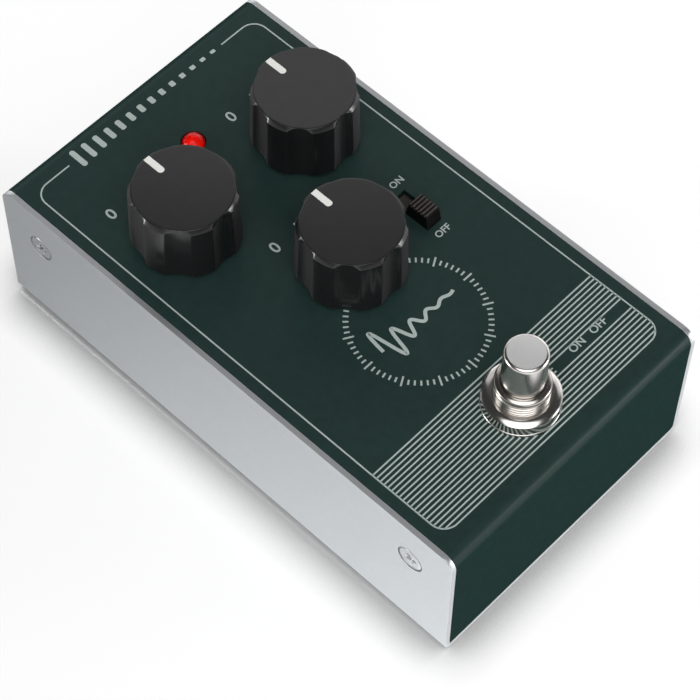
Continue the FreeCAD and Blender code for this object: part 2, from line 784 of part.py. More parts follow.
def make_knob(side_name, x, y):
    """A drafted cap with seven flutes, hollow under the skirt round the bushing's nut."""
    body = new_body(f"knob_{side_name}", x, y)
    hub_low = bushing_top + dim.knob_hub_gap
    hub = dim.pot_shaft_radius + dim.knob_hub_wall
    cavity = flute_floor_top - dim.knob_wall
    cavity_top = knob_top - dim.knob_top_skin
    section = sketch(body, "XZ_Plane")
    draw_polygon(section, [
        (0, knob_top), (knob_face, knob_top),
        (knob_shoulder, knob_top - dim.knob_chamfer_height),
        (dim.knob_foot_radius, knob_low), (cavity + dim.knob_cavity_draft, knob_low),
        (cavity, cavity_top), (hub, cavity_top),
        (hub, hub_low), (0, hub_low),
    ])
    turned(body, section)

    bore = sketch(body, "XY_Plane", hub_low)
    draw_flatted_circle(bore, dim.pot_shaft_radius + dim.press_gap, dim.pot_shaft_flat + dim.press_gap)
    pocket(body, bore, shaft_top + dim.knob_bore_spare - hub_low, forward=True)

    before = body_volume(body)
    flute = body.newObject("PartDesign::SubtractiveCone", f"{body.Name}_flute")
    flute.AttachmentSupport = [(origin_part(body, "XY_Plane"), "")]
    flute.MapMode = "FlatFace"
    overrun = 0.5
    axis = flute_floor_top + dim.flute_radius
    bind(flute, Radius1=axis - flute_floor_foot, Radius2=dim.flute_radius,
         Height=dim.knob_height + 2 * overrun)
    low = knob_low - overrun
    flute.AttachmentOffset = FreeCAD.Placement(Vec(0, -axis.value, low.value), FreeCAD.Rotation())
    flute.setExpression("AttachmentOffset.Base.y", (-axis).text)
    flute.setExpression("AttachmentOffset.Base.z", low.text)
    cuts_away(body, before)
    ring = body.newObject("PartDesign::PolarPattern", f"{body.Name}_flutes")
    ring.Originals = [flute]
    ring.Axis = (origin_part(body, "Z_Axis"), [""])
    ring.Angle = 2 * HALF_TURN
    bind_count(ring, "Occurrences", dim.flute_count)
    body.Tip = ring

    pointer = sketch(body, "XY_Plane", knob_top)
    half = dim.pointer_width / 2
    outer = dim.knob_foot_radius + 1
    draw_path(pointer, [
        (-half, dim.pointer_start, half * 0.95), (half, dim.pointer_start, half * 0.95),
        (half, outer), (-half, outer),
    ])
    pocket(body, pointer, dim.pointer_depth)
    return body


def flat_pin(x, y, z, gap=0):
    """A flat solder pin, or with a gap the hole that it stands in."""
    return block(span(x, dim.pin_width + 2 * gap), span(y, dim.pin_metal + 2 * gap), z)


def pot_pins(x, y):
    """Where a rotary control's three solder pins stand."""
    row = y - dim.pot_width / 2 + dim.pot_pin_inset
    return [(x + step * dim.pot_pin_pitch, row) for step in (-1, 0, 1)]


def make_control(side_name, x, y):
    """Moulded base, metal cover with its threaded bushing, and the shaft with its wiper disc."""
    base_top = board_top + dim.pot_base_height
    disc_high = base_top - dim.pot_disc_play
    disc_low = disc_high - dim.pot_disc_height
    chamber_low = disc_low - dim.pot_disc_play
    square_x = span(x, dim.pot_width)
    square_y = span(y, dim.pot_width)

    shell = block(square_x, square_y, (board_top, base_top))
    chamber = rod(pot_disc + dim.pot_disc_play, x, y, (chamber_low, base_top + 1))
    node(f"pot_base_{side_name}", cut(shell, chamber))

    lid = join(block(square_x, square_y, (base_top, roof_inside)),
               rod(pot_bushing, x, y, (base_top, bushing_top)))
    bore = rod(dim.pot_shaft_radius + dim.running_gap, x, y, (base_top - 1, bushing_top + 1))
    node(f"pot_cover_{side_name}", cut(lid, bore))

    body = new_body(f"pot_shaft_{side_name}", x, y)
    section = sketch(body, "XZ_Plane")
    draw_polygon(section, [
        (0, disc_low), (pot_disc, disc_low), (pot_disc, disc_high),
        (dim.pot_shaft_radius, disc_high), (dim.pot_shaft_radius, shaft_top), (0, shaft_top),
    ])
    turned(body, section)
    flat = sketch(body, "XY_Plane", shaft_top)
    reach = dim.pot_shaft_radius + 1
    draw_rectangle(flat, (-reach, reach), (-reach, -dim.pot_shaft_flat))
    pocket(body, flat, dim.pot_flat_length)


def make_control_hardware():
    washers = []
    nuts = []
    pins = []
    washer_top = roof + dim.pot_washer_height
    hole = pot_bushing + dim.thread_gap
    for _, x, y in CONTROLS:
        washers.append(cut(prism(2 * (pot_bushing + dim.pot_washer_brim), x, y, (roof, washer_top)),
                           prism(2 * hole, x, y, (roof - 1, washer_top + 1))))
        nut = hexagon(2 * (pot_bushing + dim.pot_nut_wall), x, y,
                      (washer_top, washer_top + dim.pot_nut_height))
        nuts.append(cut(nut, rod(hole, x, y, (roof, bushing_top))))
        for pin_x, pin_y in pot_pins(x, y):
            pins.append(flat_pin(pin_x, pin_y, (board_low - dim.pin_stub, board_top)))
    node("pot_washers", group(*washers))
    node("pot_nuts", group(*nuts))
    node("pot_terminals", group(*pins))


# Lamp

LEG_XS = (-dim.lamp_leg_pitch / 2, dim.lamp_leg_pitch / 2)


def lamp_leg(x, z, gap=0):
    wide = dim.lamp_leg_width + 2 * gap
    return block(span(x, wide), span(lamp_y, wide), z)


def make_lamp():
    spacer_top = board_top + dim.lamp_spacer_height
    flange_top = spacer_top + dim.lamp_flange_height
    dome = roof - dim.lamp_dome_drop
    body = new_body("led_lens", 0, lamp_y)
    section = sketch(body, "XZ_Plane")
    radius = dim.lamp_radius
    # axis, flange, body wall, then a quarter circle over the top
    lines = [
        (Vec(0, spacer_top.value, 0), Vec(lamp_flange.value, spacer_top.value, 0)),
        (Vec(lamp_flange.value, spacer_top.value, 0),
         Vec(lamp_flange.value, flange_top.value, 0)),
        (Vec(lamp_flange.value, flange_top.value, 0), Vec(radius.value, flange_top.value, 0)),
        (Vec(radius.value, flange_top.value, 0), Vec(radius.value, dome.value, 0)),
    ]
    for start, end in lines:
        section.addGeometry(Part.LineSegment(start, end), False)
    circle = Part.Circle(Vec(0, dome.value, 0), Vec(0, 0, 1), radius.value)
    arc = section.addGeometry(Part.ArcOfCircle(circle, 0, math.pi / 2), False)
    tip = Vec(0, dome.value + radius.value, 0)
    axis = section.addGeometry(Part.LineSegment(tip, Vec(0, spacer_top.value, 0)), False)
    for i in range(3):
        section.addConstraint(Sketcher.Constraint("Coincident", i, 2, i + 1, 1))
    section.addConstraint(Sketcher.Constraint("Coincident", 3, 2, arc, 1))
    section.addConstraint(Sketcher.Constraint("Coincident", arc, 2, axis, 1))
    section.addConstraint(Sketcher.Constraint("Coincident", axis, 2, 0, 1))
    pin_point(section, 0, 1, 0, spacer_top)
    pin_point(section, 1, 1, lamp_flange, spacer_top)
    pin_point(section, 2, 1, lamp_flange, flange_top)
    pin_point(section, 3, 1, radius, flange_top)
    pin_point(section, arc, 1, radius, dome)
    pin_point(section, arc, 3, 0, dome)
    pin_point(section, arc, 2, x=0)
    turned(body, section)

    legs = [lamp_leg(x, (board_low - dim.pin_stub, spacer_top)) for x in LEG_XS]
    holes = [lamp_leg(x, (board_top - 1, spacer_top + 1), dim.pin_gap) for x in LEG_XS]
    node("led_legs", group(*legs))
    spacer = rod(lamp_flange, 0, lamp_y, (board_top, spacer_top))
    node("led_spacer", cut(spacer, *holes))


# Slide switch

plate_width = dim.slot_width + 2 * dim.slider_plate_brim
can_width = plate_width + 2 * (dim.can_side_gap + dim.can_metal)
slide_travel = dim.slot_length - dim.handle_length - 2 * dim.handle_end_gap
handle_y = slot_y - slide_travel / 2
plate_length = dim.slot_length + slide_travel + 2 * dim.slider_cover
can_length = plate_length + slide_travel + 2 * (dim.slider_end_gap + dim.can_metal)
can_top = roof_inside - dim.can_roof_gap
can_room_top = can_top - dim.can_metal
plate_top = can_room_top - dim.slider_roof_gap
plate_low = plate_top - dim.slider_plate
wafer_top = board_top + dim.wafer_height
terminal_top = wafer_top + dim.pad_height
slide_pin_pitch = slide_travel - 2 * dim.handle_end_gap
SLIDE_PINS = (slot_y - slide_pin_pitch, slot_y, slot_y + slide_pin_pitch)


def slide_pin(y, gap=0, high=terminal_top):
    return flat_pin(dim.slot_x, y, (board_low - dim.pin_stub, high), gap)


def make_slide_switch():
    wall = dim.can_metal
    shell = block(span(dim.slot_x, can_width), span(slot_y, can_length), (board_top, can_top))
    room = block(span(dim.slot_x, can_width - 2 * wall), span(slot_y, can_length - 2 * wall),
                 (board_top - 1, can_room_top))
    window = block(span(dim.slot_x, dim.slot_width + 2 * dim.window_side_gap),
                   span(slot_y, dim.slot_length + 2 * dim.window_end_gap), (board_top, can_top + 1))
    node("slide_switch_can", cut(shell, room, window))

    edge = 2 * (wall + dim.wafer_gap)
    floor_x = span(dim.slot_x, can_width - edge)
    floor_y = span(slot_y, can_length - edge)
    holes = [slide_pin(y, dim.pin_gap, wafer_top + 1) for y in SLIDE_PINS]
    node("slide_switch_base", cut(block(floor_x, floor_y, (board_top, wafer_top)), *holes))

    pads = []
    for y in SLIDE_PINS:
        flat = block(span(dim.slot_x, dim.pad_width), span(y, dim.pad_length), (wafer_top, terminal_top))
        pads.append(join(flat, slide_pin(y)))
    node("slide_switch_terminals", group(*pads))

    # the bridging clip rides under the slider, its two feet just over the terminals
    clip_low = terminal_top + dim.clip_gap
    clip_high = plate_low - dim.clip_holder_height
    clip_length = slide_pin_pitch + 2 * dim.clip_overlap
    clip_x = span(dim.slot_x, dim.pad_width)
    clip_y = span(handle_y, clip_length)
    bar = block(clip_x, clip_y, (clip_high - dim.clip_metal, clip_high))
    feet = [block(clip_x, span(y, dim.clip_metal), (clip_low, clip_high))
            for y in (clip_y[0] + dim.clip_metal / 2, clip_y[1] - dim.clip_metal / 2)]
    node("slide_switch_contact", join(bar, *feet))

    body = new_body("slide_switch_actuator", dim.slot_x, handle_y)
    holder = sketch(body, "XY_Plane", clip_high)
    draw_rectangle(holder, span(size(0), dim.clip_holder_width),
                   span(size(0), clip_length + 2 * dim.clip_overlap))
    pad(body, holder, plate_low - clip_high)
    plate = sketch(body, "XY_Plane", plate_low)
    draw_rectangle(plate, span(size(0), plate_width), span(size(0), plate_length))
    pad(body, plate, dim.slider_plate)
    width = dim.slot_width - 2 * dim.handle_side_gap
    neck = sketch(body, "XY_Plane", plate_top)
    draw_rectangle(neck, span(size(0), width), span(size(0), dim.handle_length))
    pad(body, neck, roof - plate_top)
    foot = sketch(body, "XY_Plane", roof)
    draw_rectangle(foot, span(size(0), width), span(size(0), dim.handle_length))
    top = sketch(body, "XY_Plane", roof + dim.handle_rise)
    draw_rectangle(top, span(size(0), dim.handle_top_width), span(size(0), dim.handle_top_length))
    loft = body.newObject("PartDesign::AdditiveLoft", f"{body.Name}_loft")
    loft.Profile = foot
    loft.Sections = [top]
    loft.Ruled = True
    grooves = sketch(body, "XY_Plane", roof + dim.handle_rise)
    count = int(dim.ridge_grooves.value)
    for step in range(count):
        middle = (step - (count - 1) / 2) * dim.ridge_pitch
        draw_rectangle(grooves, span(size(0), dim.slot_width), span(middle, dim.ridge_pitch / 2))
    pocket(body, grooves, dim.ridge_depth)


# Footswitch

barrel_low = roof_inside - dim.lock_washer_height - dim.inner_nut_height - dim.switch_frame_metal
frame_top = barrel_low + dim.switch_frame_metal
switch_base_low = barrel_low - dim.switch_base_height
chamber_floor = switch_base_low + dim.switch_base_floor
flange_top = barrel_low - dim.plunger_rest_gap
flange_foot = flange_top - dim.plunger_flange_height
lug_low = switch_base_low - dim.lug_length
small_board_low = lug_low + dim.lug_stub
small_board_top = small_board_low + dim.small_board_metal
LUGS = [(i * dim.lug_pitch_x, footswitch_y + j * dim.lug_pitch_y) for i in (-1, 0, 1) for j in (-1, 0, 1)]


def make_barrel():
    body = new_body("footswitch_bushing", 0, footswitch_y)
    bore = dim.plunger_radius + dim.running_gap
    rim = roof + dim.barrel_rise
    section = sketch(body, "XZ_Plane")
    draw_polygon(section, [
        (bore, barrel_low), (dim.barrel_radius, barrel_low),
        (dim.barrel_radius, rim - dim.barrel_chamfer), (bore + dim.barrel_rim, rim), (bore, rim),
    ])
    turned(body, section)


def make_plunger():
    """The push cap, its stem in the barrel, the stop flange and the spigot for the spring."""
    body = new_body("footswitch_plunger", 0, footswitch_y)
    section = sketch(body, "XZ_Plane")
    cap_top = roof + dim.plunger_rise
    spigot = spring_radius - dim.switch_wire_radius - dim.spigot_gap
    spigot_low = flange_foot - dim.spigot_height
    draw_path(section, [
        (0, spigot_low), (spigot, spigot_low), (spigot, flange_foot),
        (plunger_flange, flange_foot), (plunger_flange, flange_top),
        (dim.plunger_radius, flange_top), (dim.plunger_radius, cap_top, dim.plunger_rounding),
        (0, cap_top),
    ])
    turned(body, section)


def make_dress_nut():
    """The round panel nut, with a cone down to its rim."""
    low = roof + dim.top_washer_height
    high = low + dim.top_nut_height
    bore = dim.barrel_radius + dim.thread_gap
    rim = dim.barrel_radius + dim.top_nut_brim
    body = new_body("footswitch_top_nut", 0, footswitch_y)
    section = sketch(body, "XZ_Plane")
    draw_polygon(section, [
        (bore, low), (rim, low), (rim, high - dim.top_nut_bevel_height),
        (dim.barrel_radius + dim.top_nut_face_wall, high), (bore, high),
    ])
    turned(body, section)


def make_frame_and_base():
    """A steel U bent over the moulded base, which holds the spring and the contacts."""
    half = switch_frame_width / 2
    inside = half - dim.switch_frame_metal
    cheek_low = frame_top - dim.switch_frame_height
    body = new_body("footswitch_frame", 0, footswitch_y)
    outline = sketch(body, "XZ_Plane")
    draw_path(outline, [
        (-half, cheek_low), (-inside, cheek_low), (-inside, barrel_low), (inside, barrel_low),
        (inside, cheek_low), (half, cheek_low), (half, frame_top, dim.switch_frame_metal * 1.2),
        (-half, frame_top, dim.switch_frame_metal * 1.2),
    ])
    pad(body, outline, switch_frame_width, middle=True)
    hole = sketch(body, "XY_Plane", frame_top)
    draw_circle(hole, 0, 0, dim.barrel_radius + dim.press_gap)
    pocket(body, hole, 2 * dim.switch_frame_metal)

    base_half = inside - dim.switch_frame_gap
    base_x = (-base_half, base_half)
    base_y = span(footswitch_y, switch_frame_width - 2 * dim.switch_base_inset)
    moulding = block(base_x, base_y, (switch_base_low, barrel_low))
    chamber = rod(switch_chamber, 0, footswitch_y, (chamber_floor, barrel_low + 1))
    node("footswitch_base", cut(moulding, chamber))


def make_spring():
    """A round wire coil between the base's floor and the stop flange, in quarter turns."""
    radius = spring_radius.value
    wire_radius = dim.switch_wire_radius.value
    low = (chamber_floor + dim.switch_spring_end_gap + dim.switch_wire_radius).value
    high = (flange_foot - dim.switch_spring_end_gap - dim.switch_wire_radius).value
    turns = dim.switch_spring_turns.value

    def on_coil(quarter):
        angle = quarter * math.pi / 2
        return Vec(radius * math.cos(angle), radius * math.sin(angle),
                   low + (high - low) * quarter / (4 * turns))

    quarters = [Part.Arc(on_coil(i), on_coil(i + 0.5), on_coil(i + 1)).toShape()
                for i in range(int(4 * turns))]
    # the section stands across the coil's own slope at its start
    slope = math.atan2((high - low) / turns, 2 * math.pi * radius)
    out = Vec(1, 0, 0)
    rise = Vec(0, -math.sin(slope), math.cos(slope))
    flats = int(dim.switch_wire_flats.value)
    corners = []
    for i in range(flats + 1):
        angle = 2 * math.pi * (i % flats) / flats
        corners.append(on_coil(0) + (out * math.cos(angle) + rise * math.sin(angle)) * wire_radius)
    ring = Part.makePolygon(corners)
    pipe = Part.BRepOffsetAPI.MakePipeShell(Part.Wire(quarters))
    pipe.add(ring)
    pipe.build()
    pipe.makeSolid()
    item = doc.addObject("Part::Feature", "footswitch_spring")
    item.Shape = pipe.shape()
    node("footswitch_spring", place(item, 0, footswitch_y, 0))
    gap = (high - low) / turns - 2 * wire_radius
    print(f"spring: {gap:.2f} mm between coils at rest")


def make_switch_hardware():
    washer_top = roof + dim.top_washer_height
    hole = rod(dim.barrel_radius + dim.thread_gap, 0, footswitch_y, (roof - 1, washer_top + 1))
    node("footswitch_top_washer",
         cut(rod(dim.barrel_radius + dim.top_washer_brim, 0, footswitch_y, (roof, washer_top)), hole))
    lock_low = roof_inside - dim.lock_washer_height
    hole = prism(2 * (dim.barrel_radius + dim.thread_gap), 0, footswitch_y, (lock_low - 1, roof_inside + 1))
    lock_across = 2 * (dim.barrel_radius + dim.lock_washer_brim)
    node("footswitch_lock_washer",
         cut(prism(lock_across, 0, footswitch_y, (lock_low, roof_inside)), hole))
    hole = rod(dim.barrel_radius + dim.thread_gap, 0, footswitch_y, (frame_top - 1, lock_low + 1))
    node("footswitch_inner_nut",
         cut(hexagon(switch_nut_across, 0, footswitch_y, (frame_top, lock_low)), hole))
    lugs = [block(span(x, dim.lug_width), span(y, dim.lug_metal), (lug_low, switch_base_low))
            for x, y in LUGS]
    node("footswitch_terminals", group(*lugs))


# Small board, ribbon and its sockets

lower_socket_y = footswitch_y + dim.small_board_tail - dim.socket_depth / 2 - dim.socket_edge
upper_socket_y = board_front + dim.socket_setback


def make_small_board():
    card = block(span(size(0), dim.small_board_width),
                 (footswitch_y - dim.small_board_width / 2, footswitch_y + dim.small_board_tail),
                 (small_board_low, small_board_top))
    slots = [block(span(x, dim.lug_width + 2 * dim.pin_gap), span(y, dim.lug_metal + 2 * dim.pin_gap),
                   (small_board_low - 1, small_board_top + 1)) for x, y in LUGS]
    node("footswitch_board", cut(card, *slots))


def make_ribbon():
    """Two sockets and the flat cable that rises from one, runs back and rises into the other."""
    width = span(size(0), dim.socket_width)
    lower = block(width, span(lower_socket_y, dim.socket_depth),
                  (small_board_top, small_board_top + dim.socket_height))
    upper = block(width, span(upper_socket_y, dim.socket_depth),
                  (board_low - dim.socket_height, board_low))
    node("ribbon_sockets", group(lower, upper))

    low = small_board_top + dim.socket_height
    high = board_low - dim.socket_height
    middle = (low + high) / 2
    half = dim.ribbon_metal / 2
    wide = dim.ribbon_bend + dim.ribbon_metal
    body = new_body("ribbon_cable")
    outline = sketch(body, "YZ_Plane")
    draw_path(outline, [
        (lower_socket_y - half, low), (lower_socket_y + half, low),
        (lower_socket_y + half, middle - half, dim.ribbon_bend),
        (upper_socket_y + half, middle - half, wide),
        (upper_socket_y + half, high), (upper_socket_y - half, high),
        (upper_socket_y - half, middle + half, dim.ribbon_bend),
        (lower_socket_y - half, middle + half, wide),
    ])
    pad(body, outline, dim.ribbon_width, middle=True)


# Rear wall sockets

bushing_end = rear + rear_proud - dim.jack_nut_proud
BLADES = ((1, rear_inside - dim.tip_blade_depth), (-1, rear_inside - dim.sleeve_blade_depth))


def blade_x(x, turn, gap=0):
    """The (low, high) pair of one contact blade beside the bore."""
    near = dim.jack_bore_radius + dim.blade_bore_gap
    low = x + turn * near if turn > 0 else x - near - dim.blade_metal
    return (low - gap, low + dim.blade_metal + gap)


def make_jack(name, x):
    """A moulded socket hung under the board, its bushing through the rear wall."""
    body_y = (rear_inside - dim.jack_length, rear_inside)
    shell = join(block(span(x, dim.jack_width), body_y, (jack_z - dim.jack_height / 2, board_low)),
                 rod(jack_bushing, x, (rear_inside - 1, bushing_end), jack_z))
    bore = rod(dim.jack_bore_radius, x, (bushing_end - dim.jack_bore_length, bushing_end + 1), jack_z)
    slots = []
    blades = []
    low = jack_z - dim.blade_drop
    high = board_low - dim.blade_roof
    for turn, y in BLADES:
        slots.append(block(blade_x(x, turn, dim.pin_gap), span(y, dim.blade_width + 2 * dim.pin_gap),
                           (low - dim.pin_gap, board_low + 1)))
        blade = block(blade_x(x, turn), span(y, dim.blade_width), (low, high))
        tail = block(blade_x(x, turn), span(y, dim.blade_tail), (low, board_top + dim.pin_stub / 2))
        blades.append(join(blade, tail))
    node(f"{name}_jack", cut(shell, bore, *slots))
    node(f"{name}_contacts", group(*blades))


def make_jack_hardware():
    washers = []
    nuts = []
    washer_end = rear + dim.jack_washer_height
    hole = jack_bushing + dim.thread_gap
    for _, x in JACKS:
        bore = rod(hole, x, (rear - 1, rear + rear_proud + 1), jack_z)
        washers.append(cut(rod(jack_bushing + dim.jack_washer_brim, x, (rear, washer_end), jack_z), bore))
        bore = rod(hole, x, (rear - 1, rear + rear_proud + 1), jack_z)
        nut = hexagon(2 * (jack_bushing + dim.jack_nut_wall), x, (washer_end, rear + rear_proud), jack_z)
        nuts.append(cut(nut, bore))
    node("jack_washers", group(*washers))
    node("jack_nuts", group(*nuts))


def make_power_socket():
    """The round power socket: moulded block, centre pin and the spring blade below the bore."""
    back = rear_inside - dim.power_length
    bore_end = rear - dim.power_bore_length
    bottom = power_z - dim.power_bore_radius - dim.power_wall
    wide = 2 * (dim.power_bore_radius + dim.power_wall)
    shell = join(block(span(size(0), wide), (back, rear_inside), (bottom, board_low)),
                 rod(power_nose, 0, (rear_inside - 1, rear), power_z))
    bore = rod(dim.power_bore_radius, 0, (bore_end, rear + 1), power_z)
    root = dim.power_pin_radius + dim.power_root_step
    pin_hole = rod(root + dim.press_gap, 0, (back - 1, bore_end + 1), power_z)
    blade_high = power_z - dim.power_bore_radius - dim.power_blade_gap
    blade_low = blade_high - dim.blade_metal
    play = dim.power_blade_play
    blade_end = rear_inside - dim.power_blade_setback
    # the channel opens into the bore and out of the socket's back
    channel = block(span(size(0), dim.power_blade_width + 2 * play), (back - 1, blade_end + 5 * play),
                    (blade_low - play / 2, power_z - dim.power_bore_radius + 0.3))
    node("dc_jack", cut(shell, bore, pin_hole, channel))
    pin_end = rear - dim.power_pin_setback
    tip = dim.power_pin_radius / 2
    pin = join(rod(root, 0, (back, bore_end), power_z),
               rod(dim.power_pin_radius, 0, (bore_end, pin_end - tip), power_z),
               taper(dim.power_pin_radius, tip, 0, (pin_end - tip, pin_end), power_z))
    node("dc_jack_pin", pin)
    across = span(size(0), dim.power_blade_width)
    tail_y = (back - 0.5 - dim.blade_metal, back - 0.5)
    blade = join(block(across, (tail_y[1], blade_end), (blade_low, blade_high)),
                 block(across, tail_y, (blade_low, board_top + dim.pin_stub / 2)))
    node("dc_jack_contact", blade)
    return tail_y


# Main board and what it carries

def make_main_board(tail_y):
    """The card, with a hole for every pin that passes it."""
    card = block((-board_side, board_side), (board_front, board_rear), (board_low, board_top))
    through = (board_low - 1, board_top + 1)
    holes = []
    for _, x, y in CONTROLS:
        for pin_x, pin_y in pot_pins(x, y):
            holes.append(flat_pin(pin_x, pin_y, through, dim.pin_gap))
    for x in LEG_XS:
        holes.append(lamp_leg(x, through, dim.pin_gap))
    for y in SLIDE_PINS:
        holes.append(slide_pin(y, dim.pin_gap, board_top + 1))
    for _, x in JACKS:
        for turn, y in BLADES:
            holes.append(block(blade_x(x, turn, dim.pin_gap), span(y, dim.blade_tail + 2 * dim.pin_gap),
                               through))
    gap = dim.pin_gap
    across = span(size(0), dim.power_blade_width + 2 * gap)
    holes.append(block(across, (tail_y[0] - gap, tail_y[1] + gap), through))
    node("main_board", cut(card, *holes))


def hung(x, y, width, depth, height):
    """A block soldered to the underside of the main board."""
    return block(span(size(x), width), span(y, depth), (board_low - height, board_low))


def make_board_parts():
    """Chips, relay and cans, placed from the controls' pins and the board's edges."""
    pins_y = pot_pins(size(0), middle_knob_y)[0][1]
    first_row = pins_y + dim.part_gap + dim.pot_width / 2
    processor_y = first_row + dim.processor_width / 2
    wide = dim.processor_width / 2 + dim.part_gap
    node("processor_chip", hung(0, processor_y, dim.processor_width, dim.processor_width,
                                dim.processor_height))
    chips = []
    for row in (0, 1):
        y = first_row + dim.converter_depth / 2 + row * (dim.converter_depth + dim.part_gap)
        chips.append(hung(-wide - dim.converter_width / 2, y, dim.converter_width,
                          dim.converter_depth, dim.converter_height))
    node("converter_chips", group(*chips))
    node("crystal", hung(wide + dim.crystal_width / 2, processor_y, dim.crystal_width,
                         dim.crystal_depth, dim.crystal_height))
    regulator_y = processor_y + (dim.processor_width + dim.regulator_width) / 2 + dim.part_gap
    node("regulator", hung(0, regulator_y, dim.regulator_width, dim.regulator_width,
                           dim.regulator_height))
    relay_y = SLIDE_PINS[2] + dim.part_gap + dim.relay_depth / 2
    node("relay", hung(dim.slot_x + dim.part_gap, relay_y, dim.relay_width, dim.relay_depth,
                       dim.relay_height))
    cans = []
    pitch = 2 * dim.capacitor_radius + dim.part_gap
    for row in (0, 1):
        for column in (0, 1):
            x = -board_side + dim.part_gap + dim.capacitor_radius + column * pitch
            y = board_front + dim.part_gap + dim.capacitor_radius + row * pitch
            cans.append(prism(2 * dim.capacitor_radius, x, y, (board_low - dim.capacitor_height, board_low)))
    node("capacitors", group(*cans))


def main():
    make_chassis()
    make_cover()
    make_case_fasteners()
    make_feet()
    for name, x, y in CONTROLS:
        make_knob(name, x, y)
        make_control(name, x, y)
    make_control_hardware()
    make_lamp()
    make_slide_switch()
    make_barrel()
    make_plunger()
    make_dress_nut()
    make_frame_and_base()
    make_spring()
    make_switch_hardware()
    make_small_board()
    make_ribbon()
    for name, x in JACKS:
        make_jack(name, x)
    make_jack_hardware()
    tail_y = make_power_socket()
    make_main_board(tail_y)
    make_board_parts()


def check_and_write():
    """Stop on any failed or loose object, then write one file per node."""
    doc.recompute()
    for item in doc.Objects:
        if "Invalid" in item.State or "Error" in item.State:
            raise RuntimeError(f"{item.Label} failed: {item.State}")
        if item.TypeId == "Sketcher::SketchObject" and not item.FullyConstrained:
            raise RuntimeError(f"{item.Label} has free points")
    for item in nodes:
        if item.Shape.isNull() or not item.Shape.isValid() or not item.Shape.Solids:
            raise RuntimeError(f"{item.Label} has no valid solid")
    os.makedirs("parts", exist_ok=True)
    for item in nodes:
        item.Shape.exportStep(f"parts/{item.Label}.step")
    print(len(nodes), "nodes written")


main()
check_and_write()
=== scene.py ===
import math
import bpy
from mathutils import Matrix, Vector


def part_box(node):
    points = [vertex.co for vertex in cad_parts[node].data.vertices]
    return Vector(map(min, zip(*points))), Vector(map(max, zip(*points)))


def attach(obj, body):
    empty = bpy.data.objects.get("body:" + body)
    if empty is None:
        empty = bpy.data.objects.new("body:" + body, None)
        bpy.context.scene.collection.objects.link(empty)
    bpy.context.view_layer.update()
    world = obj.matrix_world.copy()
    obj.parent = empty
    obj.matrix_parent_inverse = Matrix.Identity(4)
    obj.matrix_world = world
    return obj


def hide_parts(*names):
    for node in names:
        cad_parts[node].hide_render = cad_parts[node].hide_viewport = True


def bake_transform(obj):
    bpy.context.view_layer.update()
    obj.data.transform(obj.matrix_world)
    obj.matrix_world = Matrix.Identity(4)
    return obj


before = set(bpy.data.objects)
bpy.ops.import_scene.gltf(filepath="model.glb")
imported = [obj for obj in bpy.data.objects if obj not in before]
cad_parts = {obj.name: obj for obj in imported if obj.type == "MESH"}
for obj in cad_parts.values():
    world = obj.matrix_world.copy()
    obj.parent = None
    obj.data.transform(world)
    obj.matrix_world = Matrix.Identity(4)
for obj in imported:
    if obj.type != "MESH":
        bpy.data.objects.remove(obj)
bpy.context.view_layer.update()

from types import SimpleNamespace

import bmesh
import bpy
from mathutils import Matrix, Vector

# A guitar delay pedal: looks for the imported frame. Pieces are drawn in millimetres and scaled to
# metres as their meshes are made; rules and Blender's own settings take metres.
MM = 0.001


def box(name):
    """A frame node's low and high corners in millimetres."""
    low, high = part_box(name)
    return low / MM, high / MM


def middle(name):
    low, high = box(name)
    return (low + high) / 2


# Places read from the frame, and the folds of its sheet metal

case_low, case_high = box("chassis_base")
cover_low, cover_high = box("top_cover")
PANEL = cover_high.z
FRONT = case_low.y
REAR = case_high.y
SIDE = case_high.x
METAL = 1.2
COVER_FOLD = 3.2
CHASSIS_FOLD = 2.0
KNOBS = ("left", "right", "center")
switch_axis = middle("footswitch_bushing")[:2]
lamp_axis = middle("led_lens")[:2]


# Meshes

def new_object(name, mesh):
    thing = bpy.data.objects.new(name, mesh)
    bpy.context.scene.collection.objects.link(thing)
    return thing


def from_bmesh(work, name):
    mesh = bpy.data.meshes.new(name)
    work.to_mesh(mesh)
    work.free()
    return new_object(name, mesh)


def circle(x, y, radius, steps=64, first=0.0):
    angles = [first + 2 * math.pi * i / steps for i in range(steps)]
    return [(x + radius * math.cos(angle), y + radius * math.sin(angle)) for angle in angles]


def rounded(corners, steps=5):
    """A closed outline from rows (x, y, radius), each corner rounded by its radius."""
    outline = []
    for i, (x, y, radius) in enumerate(corners):
        if radius <= 0:
            outline.append((x, y))
            continue
        here = Vector((x, y))
        before = (Vector(corners[i - 1][:2]) - here).normalized()
        after = (Vector(corners[(i + 1) % len(corners)][:2]) - here).normalized()
        half = before.angle(after) / 2
        reach = radius / math.tan(half)
        centre = here + (before + after).normalized() * (radius / math.sin(half))
        start, end = (here + way * reach - centre for way in (before, after))
        first = math.atan2(start.y, start.x)
        turn = (math.atan2(end.y, end.x) - first + math.pi) % (2 * math.pi) - math.pi
        for k in range(steps + 1):
            angle = first + turn * k / steps
            outline.append((centre.x + radius * math.cos(angle), centre.y + radius * math.sin(angle)))
    return outline


def rectangle(x_low, x_high, y_low, y_high, radius=0.0, steps=5):
    return rounded([(x_low, y_low, radius), (x_high, y_low, radius), (x_high, y_high, radius),
                    (x_low, y_high, radius)], steps)


def stepped(start, end, steps):
    """Even points from start to end."""
    return [tuple(a + (b - a) * i / steps for a, b in zip(start, end)) for i in range(steps + 1)]


def crowned(inner, outer, top, steepest, steps):
    """Profile rows from an outer edge in to a flat top, on one arc that is steepest at the edge."""
    radius = (outer - inner) / math.sin(steepest)
    return [(inner + radius * math.sin(steepest * i / steps),
             top - radius * (1 - math.cos(steepest * i / steps))) for i in range(steps, -1, -1)]


